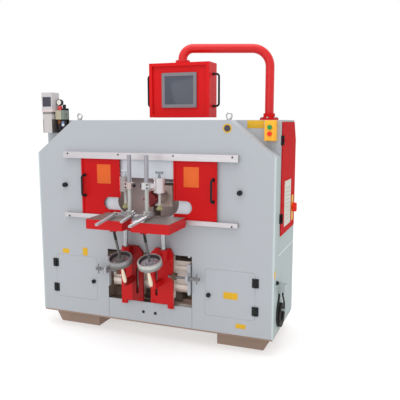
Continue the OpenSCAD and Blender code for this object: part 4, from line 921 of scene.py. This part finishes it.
for side, sign in SIDES:
    plate(side + "_guard_plate", (0.106, 0.132), (0.3235 * sign, GUARD_FRONT, 1.158), "front",
          side + "_guard", "label_orange", "switch_yellow", radius=0.004)
plate("right_door_plate", (0.098, 0.047), (0.590, FRONT, 0.386), "front", "right_access", *YELLOW)
casing_labels = [((0.056, 0.034), (-0.668, 0.582)), ((0.040, 0.058), (-0.505, 0.589)),
                 ((0.068, 0.031), (0.660, 0.187))]
piece("casing_plates", joined([placed(slab(*measure, PLATE_THICK, PLATE_RADIUS), (x, FRONT, z), "front")
                               for measure, (x, z) in casing_labels]), "cabinet", *YELLOW)
plate("shoulder_plate", (0.110, 0.050), (0.7095, -0.190, 1.4975), "front", "cabinet", *YELLOW, thick=0.0010)
plate("wall_plate", (0.040, 0.046), (WALL, -0.286, 0.548), "right", "cabinet", *YELLOW)
badge_rim = lathe([(0.029, 0), (0.029, 0.0008), (0.0285, 0.0012), (0.021, 0.0012)], 48)
badge_middle = lathe([(0.021, 0.0010), (0.021, 0.0016), (0.0205, 0.0020)], 48)
piece("round_badge", placed(badge_rim, BADGE_AT, "front"), "cabinet", *YELLOW)
piece("badge_middle", placed(badge_middle, BADGE_AT, "front"), "cabinet", "lube_panel", "black_plastic")
print("label plates:", len(SIDES) + len(casing_labels) + 3, "and a badge")

# %% [markdown]
# ## Screws and bolts
# Small fasteners show how the machine goes together: rails, panels, carriage plates and the pendant's flange
# are all bolted on. Each kind is turned once and then repeated, which keeps the heads alike.

# %% Screw heads


def repeated(shape, places, face):
    """One shape at several places on a face."""
    return joined([placed(shape, at, face) for at in places])


def cap_screw(radius, height):
    """Turned screw head: the profile goes up, over an eased rim and down into the socket."""
    rim = 0.12 * radius
    return lathe([(radius, 0), (radius, height - rim), (radius - rim, height), (0.55 * radius, height),
                  (0.50 * radius, 0.4 * height)], 24)


def hex_bolt(radius, height):
    """A washer and a six-sided head, whose corners are eased by a narrower last ring."""
    washer = lathe([(1.35 * radius, 0), (1.35 * radius, 0.2 * height), (1.25 * radius, 0.25 * height)], 28)
    head = lathe([(radius, 0.2 * height), (radius, 0.9 * height), (0.86 * radius, height)], 6)
    return joined([washer, head])


def dome(radius, height, rows=7):
    """Half an ellipsoid with a tiny flat top: (radius cos a, height sin a), a from 0 to 0.97 pi / 2."""
    a = np.linspace(0, 0.97 * np.pi / 2, rows)
    return lathe(np.column_stack([radius * np.cos(a), height * np.sin(a)]), 28)


print("a screw head has", len(cap_screw(0.005, 0.004)[1]), "faces")

# %% Fasteners
RAIL_FRONT, CARRIAGE_FRONT, REAR = -0.347, -0.350, 0.319
BLACK_BOLT, ZINC_BOLT = ("bolt_black", "black_plastic"), ("bolt_zinc", "bright_steel")
FLANGE_AT, FLANGE_TOP, BOLT_CIRCLE = (0.729, 0.096), 1.539, 0.053

rail_at = [(x, RAIL_FRONT, z) for x in (-0.604, -0.203, 0.202, 0.604) for z in (1.294, 0.852)]
piece("rail_screws", repeated(cap_screw(0.0055, 0.004), rail_at, "front"), "cabinet", *BLACK_BOLT)
skirt_at = [(x, FRONT, 0.197) for x in (0.046, -0.046)]
piece("skirt_bolts", repeated(hex_bolt(0.0080, 0.006), skirt_at, "front"), "cabinet", *BLACK_BOLT)
rear_at = [(x, REAR, z) for x in (-0.476, 0.476) for z in (0.296, 0.600, 0.900, 1.204)]
rear_at += [(x, REAR, z) for x in (-0.16, 0.16) for z in (0.296, 1.204)]
piece("rear_screws", repeated(dome(0.0065, 0.0035), rear_at, "rear"), "cabinet", *ZINC_BOLT)
bolt_circle = BOLT_CIRCLE * directions(np.radians(np.arange(6) * 60 + 30))
flange_at = at_level(np.array(FLANGE_AT) + bolt_circle, FLANGE_TOP)
piece("flange_bolts", repeated(hex_bolt(0.0072, 0.008), flange_at, "top"), "cabinet", *ZINC_BOLT)
for side, sign in SIDES:
    plate_at = [(x * sign, CARRIAGE_FRONT, z)
                for x, z in ((0.050, 0.300), (0.182, 0.270), (0.182, 0.560), (0.050, 0.560))]
    piece(side + "_carriage_screws", repeated(cap_screw(0.0060, 0.005), plate_at, "front"),
          side + "_carriage", "red_paint", "red_paint")
print("fasteners on rails, rear panel and flange:", len(rail_at), len(rear_at), len(flange_at))

# %% [markdown]
# ## Louvres
# Air leaves the electrical bay and the chamber through slots, each under a pressed hood. Bump could only hint
# at them, so a hood is a loop carried across its slot that flattens out towards both ends.

# %% Louvres
VENT_FRONT, VENT_Y, VENT_Z = 0.8839, 0.029, 0.9725
HOOD_OUT = np.array([0, 0, 0.30, 0.62, 0.86, 1.0, 1.0, 0.0])
HOOD_UP = np.array([0.0, 1.0, 0.92, 0.72, 0.46, 0.16, 0.02, 0.0])


def vent_hood(width, height, reach, rows=15):
    """A pressed louvre: for t across, the loop plate, hood, lip, plate, with the reach times (1 - t^4)."""
    t = np.linspace(-0.985, 0.985, rows)[:, None]
    out = reach * HOOD_OUT[None] * (1 - t ** 4) + 0.0003
    out[:, :2] = 0
    up = height * HOOD_UP[None] + 0 * t
    return closed_grid(np.stack([0.5 * width * t + 0 * out, up, out], -1))


vent_plate = placed(slab(0.2055, 0.3045, 0.0026, 0.004), (DOOR, VENT_Y, VENT_Z), "right")
hood_at = [(VENT_FRONT, VENT_Y, z) for z in np.arange(0.8475, 1.085, 0.0262)]
hoods = repeated(vent_hood(0.166, 0.019, 0.0062), hood_at, "right")
vent = piece("vent_louvres", joined([vent_plate, hoods]), "electrical", "vent_plastic", "vent_plastic")
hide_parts("vent_cover")
rear_slots = [(x, REAR, 0.897 + 0.034 * row) for x in (-0.170, 0.170) for row in range(6)]
piece("rear_louvres", repeated(vent_hood(0.254, 0.022, 0.0085), rear_slots, "rear"), "cabinet", "panel_paint",
      "cabinet_paint")
vent_at = [(VENT_FRONT, y, z) for y in (-0.064, 0.122) for z in (0.832, 1.113)]
piece("vent_screws", repeated(dome(0.0042, 0.0022), vent_at, "right"), "electrical", *ZINC_BOLT)
print("louvres on the door and at the rear:", len(hood_at), len(rear_slots))

# %% [markdown]
# ## Operator's things
# The isolator has a handle and a yellow plate behind it, the screen a glass, the pump a dark key panel, and
# the air unit a gauge with a pale face. The real ones are cut from sheet or turned, so slabs and lathe
# profiles give their form with few numbers.

# %% Isolator handle and wall lock
ISOLATOR_AT = (DOOR, 0.209, 0.915)

hub = lathe([(0.0040, -0.0100), (0.0045, -0.0095), (0.0045, 0.0013), (0.0255, 0.0013), (0.0262, 0.0020),
             (0.0262, 0.0100), (0.0235, 0.0135), (0.0150, 0.0150), (0.0060, 0.0155)], 48)
grip = slab(0.020, 0.064, 0.0330, 0.0098, 0.0060)
handle = piece("isolator_handle", placed(joined([hub, grip]), ISOLATOR_AT, "right"), "isolator", "button_red",
               "button_red")
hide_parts("isolator_knob")
lock = lathe([(0.0150, 0), (0.0150, 0.003), (0.0120, 0.005), (0.0120, 0.014), (0.0105, 0.016),
              (0.0030, 0.016), (0.0030, 0.011)], 32)
piece("wall_lock", placed(lock, (WALL, -0.232, 0.481), "right"), "cabinet", "black_plastic", "black_plastic")
print("isolator handle at", ISOLATOR_AT)

# %% Screen, plates and gauge
GAUGE_X = -0.738


def ring_plate(width, height, hole, thick, sides=64):
    """A rectangular plate with a round hole: hole and outline, back and front, closed on themselves."""
    ring = circle(sides)
    outline = ring / np.maximum(np.abs(ring[:, :1]) / (width / 2), np.abs(ring[:, 1:]) / (height / 2))
    rows = [at_level(flat, level)
            for flat, level in ((hole * ring, 0), (outline, 0), (outline, thick), (hole * ring, thick))]
    return np.concatenate(rows), grid_quads(len(rows), sides, wrap_rows=True).tolist()


plate("screen_pane", (0.2056, 0.1856), (0.17458, -0.1768, 1.723), "front", "pendant", "screen_glass",
      "screen_grey", thick=0.0012)
piece("isolator_plate", placed(ring_plate(0.066, 0.180, 0.0285, 0.0012), (DOOR, 0.209, 0.912), "right"),
      "electrical", *YELLOW, smooth=False)
plate("pump_panel", (0.070, 0.067), (-0.810, -0.278, 1.6555), "front", "cabinet", "lube_panel",
      "black_plastic", thick=0.0012, radius=0.002)
dial = lathe([(0.0175, 0), (0.0175, 0.0006), (0.0172, 0.0010)], 40)
piece("gauge_face", placed(dial, (GAUGE_X, -0.236, 1.652), "front"), "cabinet", "gauge_white", "lube_grey")
needle = placed(slab(0.0014, 0.013, 0.0006, 0.0006, 0.0002), (-0.7405, -0.2369, 1.6555), "front")
piece("gauge_needle", needle, "cabinet", "black_plastic", "black_plastic")
cap = lathe([(0.0150, 1.5965), (0.0160, 1.5985), (0.0160, 1.6200), (0.0130, 1.6270), (0.0075, 1.6290)])
piece("gauge_cap", placed(cap, (GAUGE_X, -0.223, 0), "top"), "cabinet", "cap_red", "button_red")
plate("air_tag", (0.022, 0.036), (-0.7065, -0.2402, 1.500), "front", "cabinet", "tag_print", "lube_grey",
      thick=0.0010, radius=0.002)
print("screen, plates and gauge placed")

# %% [markdown]
# ## Guard in the dust outlet
# Nobody should reach through the outlet, so wire rings on four spokes sit inside its mouth. A ring is a
# circle carried round a circle, and a grid that closes both ways needs no caps.

# %% Outlet guard
OUTLET_AT = np.array([0, 0.372, 0.460])


def wire_ring(radius, wire, sides=56, around=10):
    """A torus: P = ((radius + wire cos v) cos u, (radius + wire cos v) sin u, wire sin v)."""
    u = np.linspace(0, 2 * np.pi, sides, endpoint=False)[:, None]
    v = np.linspace(0, 2 * np.pi, around, endpoint=False)[None]
    reach = radius + wire * np.cos(v)
    ring = np.stack([reach * np.cos(u), reach * np.sin(u), wire * np.sin(v) + 0 * u], -1)
    return ring.reshape(-1, 3), grid_quads(sides, around, wrap_rows=True).tolist()


rings = [placed(wire_ring(radius, 0.0019), OUTLET_AT, "rear") for radius in np.arange(0.008, 0.056, 0.0068)]
spoke = lathe([(0.0016, 0.004), (0.0020, 0.005), (0.0020, 0.056), (0.0016, 0.057)], 10)
spokes = [placed(spoke, OUTLET_AT, [[0, 1, 0], np.cross((a, 0, b), (0, 1, 0)), (a, 0, b)])
          for a, b in ((1, 0), (0, 1), (-1, 0), (0, -1))]
piece("outlet_guard", joined(rings + spokes), "cabinet", *ZINC_BOLT)
print("outlet guard rings:", len(rings))

# %% [markdown]
# ## Hold-down fittings
# Each air cylinder has a tee for its air line on top, and each post a clamp with screws and a black knob. The
# fences turn about the posts, so their bolts and their clamp knob are laid out flat and turned with them.

# %% Fittings
POST_X, POST_Y = 0.062, -0.455
RAM_X, RAM_Y, TEE_Z = 0.125, -0.395, 1.188

stem = lathe([(0.0090, 1.1515), (0.0090, 1.1680), (0.0078, 1.1690), (0.0078, 1.1900)], 24)
tee = lathe([(0.0060, -0.026), (0.0085, -0.025), (0.0085, -0.014), (0.0070, -0.013), (0.0070, 0.013),
             (0.0085, 0.014), (0.0085, 0.025), (0.0060, 0.026)], 24)
knob = lathe([(0.0050, 0), (0.0050, 0.005), (0.0095, 0.006), (0.0110, 0.009), (0.0110, 0.014),
              (0.0085, 0.017), (0.0030, 0.018)], 28)
for (side, sign), inward in zip(SIDES, ("right", "left")):
    fitting = joined([placed(stem, (RAM_X * sign, RAM_Y, 0), "top"),
                      placed(tee, (RAM_X * sign, RAM_Y, TEE_Z), "right")])
    piece(side + "_air_tee", fitting, side + "_table", "tee_grey", "air_metal")
    clamp_at = [((POST_X + 0.015) * sign, -0.479, CLAMP_MIDDLE + step) for step in (-0.011, 0.011)]
    piece(side + "_clamp_screws", repeated(cap_screw(0.0055, 0.006), clamp_at, "front"), side + "_table",
          *BLACK_BOLT)
    piece(side + "_clamp_knob", placed(knob, (0.038 * sign, POST_Y, CLAMP_MIDDLE), inward), side + "_table",
          "black_plastic", "black_plastic")
print("hold-down fittings placed")

# %% Fence fittings
FENCE_Z = 0.9073
FENCE_TURN = {"left": 13, "right": 8}  # degrees
FENCE_BOLTS = {"left": [(0.024, -0.035), (0.024, -0.075), (-0.050, 0.0), (-0.097, -0.018), (-0.097, -0.060)],
               "right": [(0.024, -0.035), (0.024, -0.075), (0.024, 0.020), (0.024, 0.045)]}

shank = lathe([(0.0045, 0), (0.0045, 0.012)], 20)
knob = placed(joined([shank, knurled(0.0095, 0.010, 0.024, 18, 0.0010)]), (0, -0.0268, 0.013), "front")
collar_at = at_level(0.0205 * directions(np.radians([100, 160, 220])), 0.026)
collar = repeated(cap_screw(0.0036, 0.004), collar_at, "top")
for side, sign in SIDES:
    c, s = math.cos(math.radians(FENCE_TURN[side])), math.sin(math.radians(FENCE_TURN[side]))
    bolts = repeated(hex_bolt(0.0068, 0.0085), at_level(FENCE_BOLTS[side], 0.013), "top")
    fittings = placed(joined([bolts, knob, collar]), (POST_X * sign, POST_Y, FENCE_Z),
                      [[c, s, 0], [-s, c, 0], [0, 0, 1]])
    piece(side + "_fence_fittings", fittings, side + "_fence", *ZINC_BOLT)
    print(side, "fence bolts:", len(FENCE_BOLTS[side]))

# %% [markdown]
# ## Floor and light
# The machine was photographed as for a catalogue: white all round, soft light from above and from the front.
# A white world alone would look flat, so two area lights give it form, and small lamps stand for the light
# that bounces about inside. The floor glows a little, so the shadow on it stays faint.

# %% Floor
FLOOR_REACH, FLOOR_LEVEL, FLOOR_GLOW = 30, -0.001, 0.52

paint("floor_white", (0.50, 0.50, 0.50, 1), (0.49, 0.49, 0.49, 1), 0.2, 0.0, 0.7, peel=0.0)
floor_shader = coats["floor_white"].node_tree.nodes["Principled BSDF"]
floor_shader.inputs["Emission Color"].default_value = (1, 1, 1, 1)
floor_shader.inputs["Emission Strength"].default_value = FLOOR_GLOW
floor_corners = at_level(FLOOR_REACH * np.array([(-1, -1), (1, -1), (1, 1), (-1, 1)]), FLOOR_LEVEL)
floor_mesh = bpy.data.meshes.new("studio_floor")
floor_mesh.from_pydata(floor_corners.tolist(), [], [(0, 1, 2, 3)])
floor_mesh.materials.append(coats["floor_white"])
floor = bpy.data.objects.new("studio_floor", floor_mesh)
bpy.context.scene.collection.objects.link(floor)
print("floor reaches", FLOOR_REACH)

# %% Lights
LAMP_RADIUS = 0.06


def new_light(name, kind, place, power):
    """A light of some kind at a place."""
    data = bpy.data.lights.new(name, kind)
    data.energy = power
    light = bpy.data.objects.new(name, data)
    light.location = place
    bpy.context.scene.collection.objects.link(light)
    return light


def soft_light(name, place, aim, width, power):
    """A square area light at a place, turned to aim at a point."""
    light = new_light(name, "AREA", place, power)
    light.data.size = width
    direction = Vector(aim) - Vector(place)
    light.rotation_euler = direction.to_track_quat("-Z", "Y").to_euler()


def inner_lamp(name, place, power):
    """A small round lamp inside the machine, which the camera doesn't see."""
    light = new_light(name, "POINT", place, power)
    light.data.shadow_soft_size = LAMP_RADIUS
    light.visible_camera = False


inner_lamp("chamber_lamp", (-0.10, -0.27, 1.10), 1.2)
inner_lamp("rear_lamp", (-0.30, 0.05, 1.15), 2.6)
inner_lamp("side_lamp", (0.16, -0.22, 0.97), 0.2)
inner_lamp("pit_lamp", (0.22, -0.19, 0.31), 0.40)
soft_light("top_light", (0.3, -0.8, 5.0), (0, 0, 1.0), 4.0, 110)
soft_light("front_light", (-0.6, -5.0, 2.2), (0, 0, 0.9), 3.0, 30)
print("lights:", len(bpy.data.lights))

# %% White surroundings
world = bpy.data.worlds.new("studio_world")
bpy.context.scene.world = world
world.use_nodes = True
world.node_tree.nodes["Background"].inputs["Color"].default_value = (1, 1, 1, 1)
world.node_tree.nodes["Background"].inputs["Strength"].default_value = 1.0
bpy.context.scene.view_settings.view_transform = "Standard"
print("surroundings:", world.name)

# %% [markdown]
# ## End

# %% End
print("end of the scene")
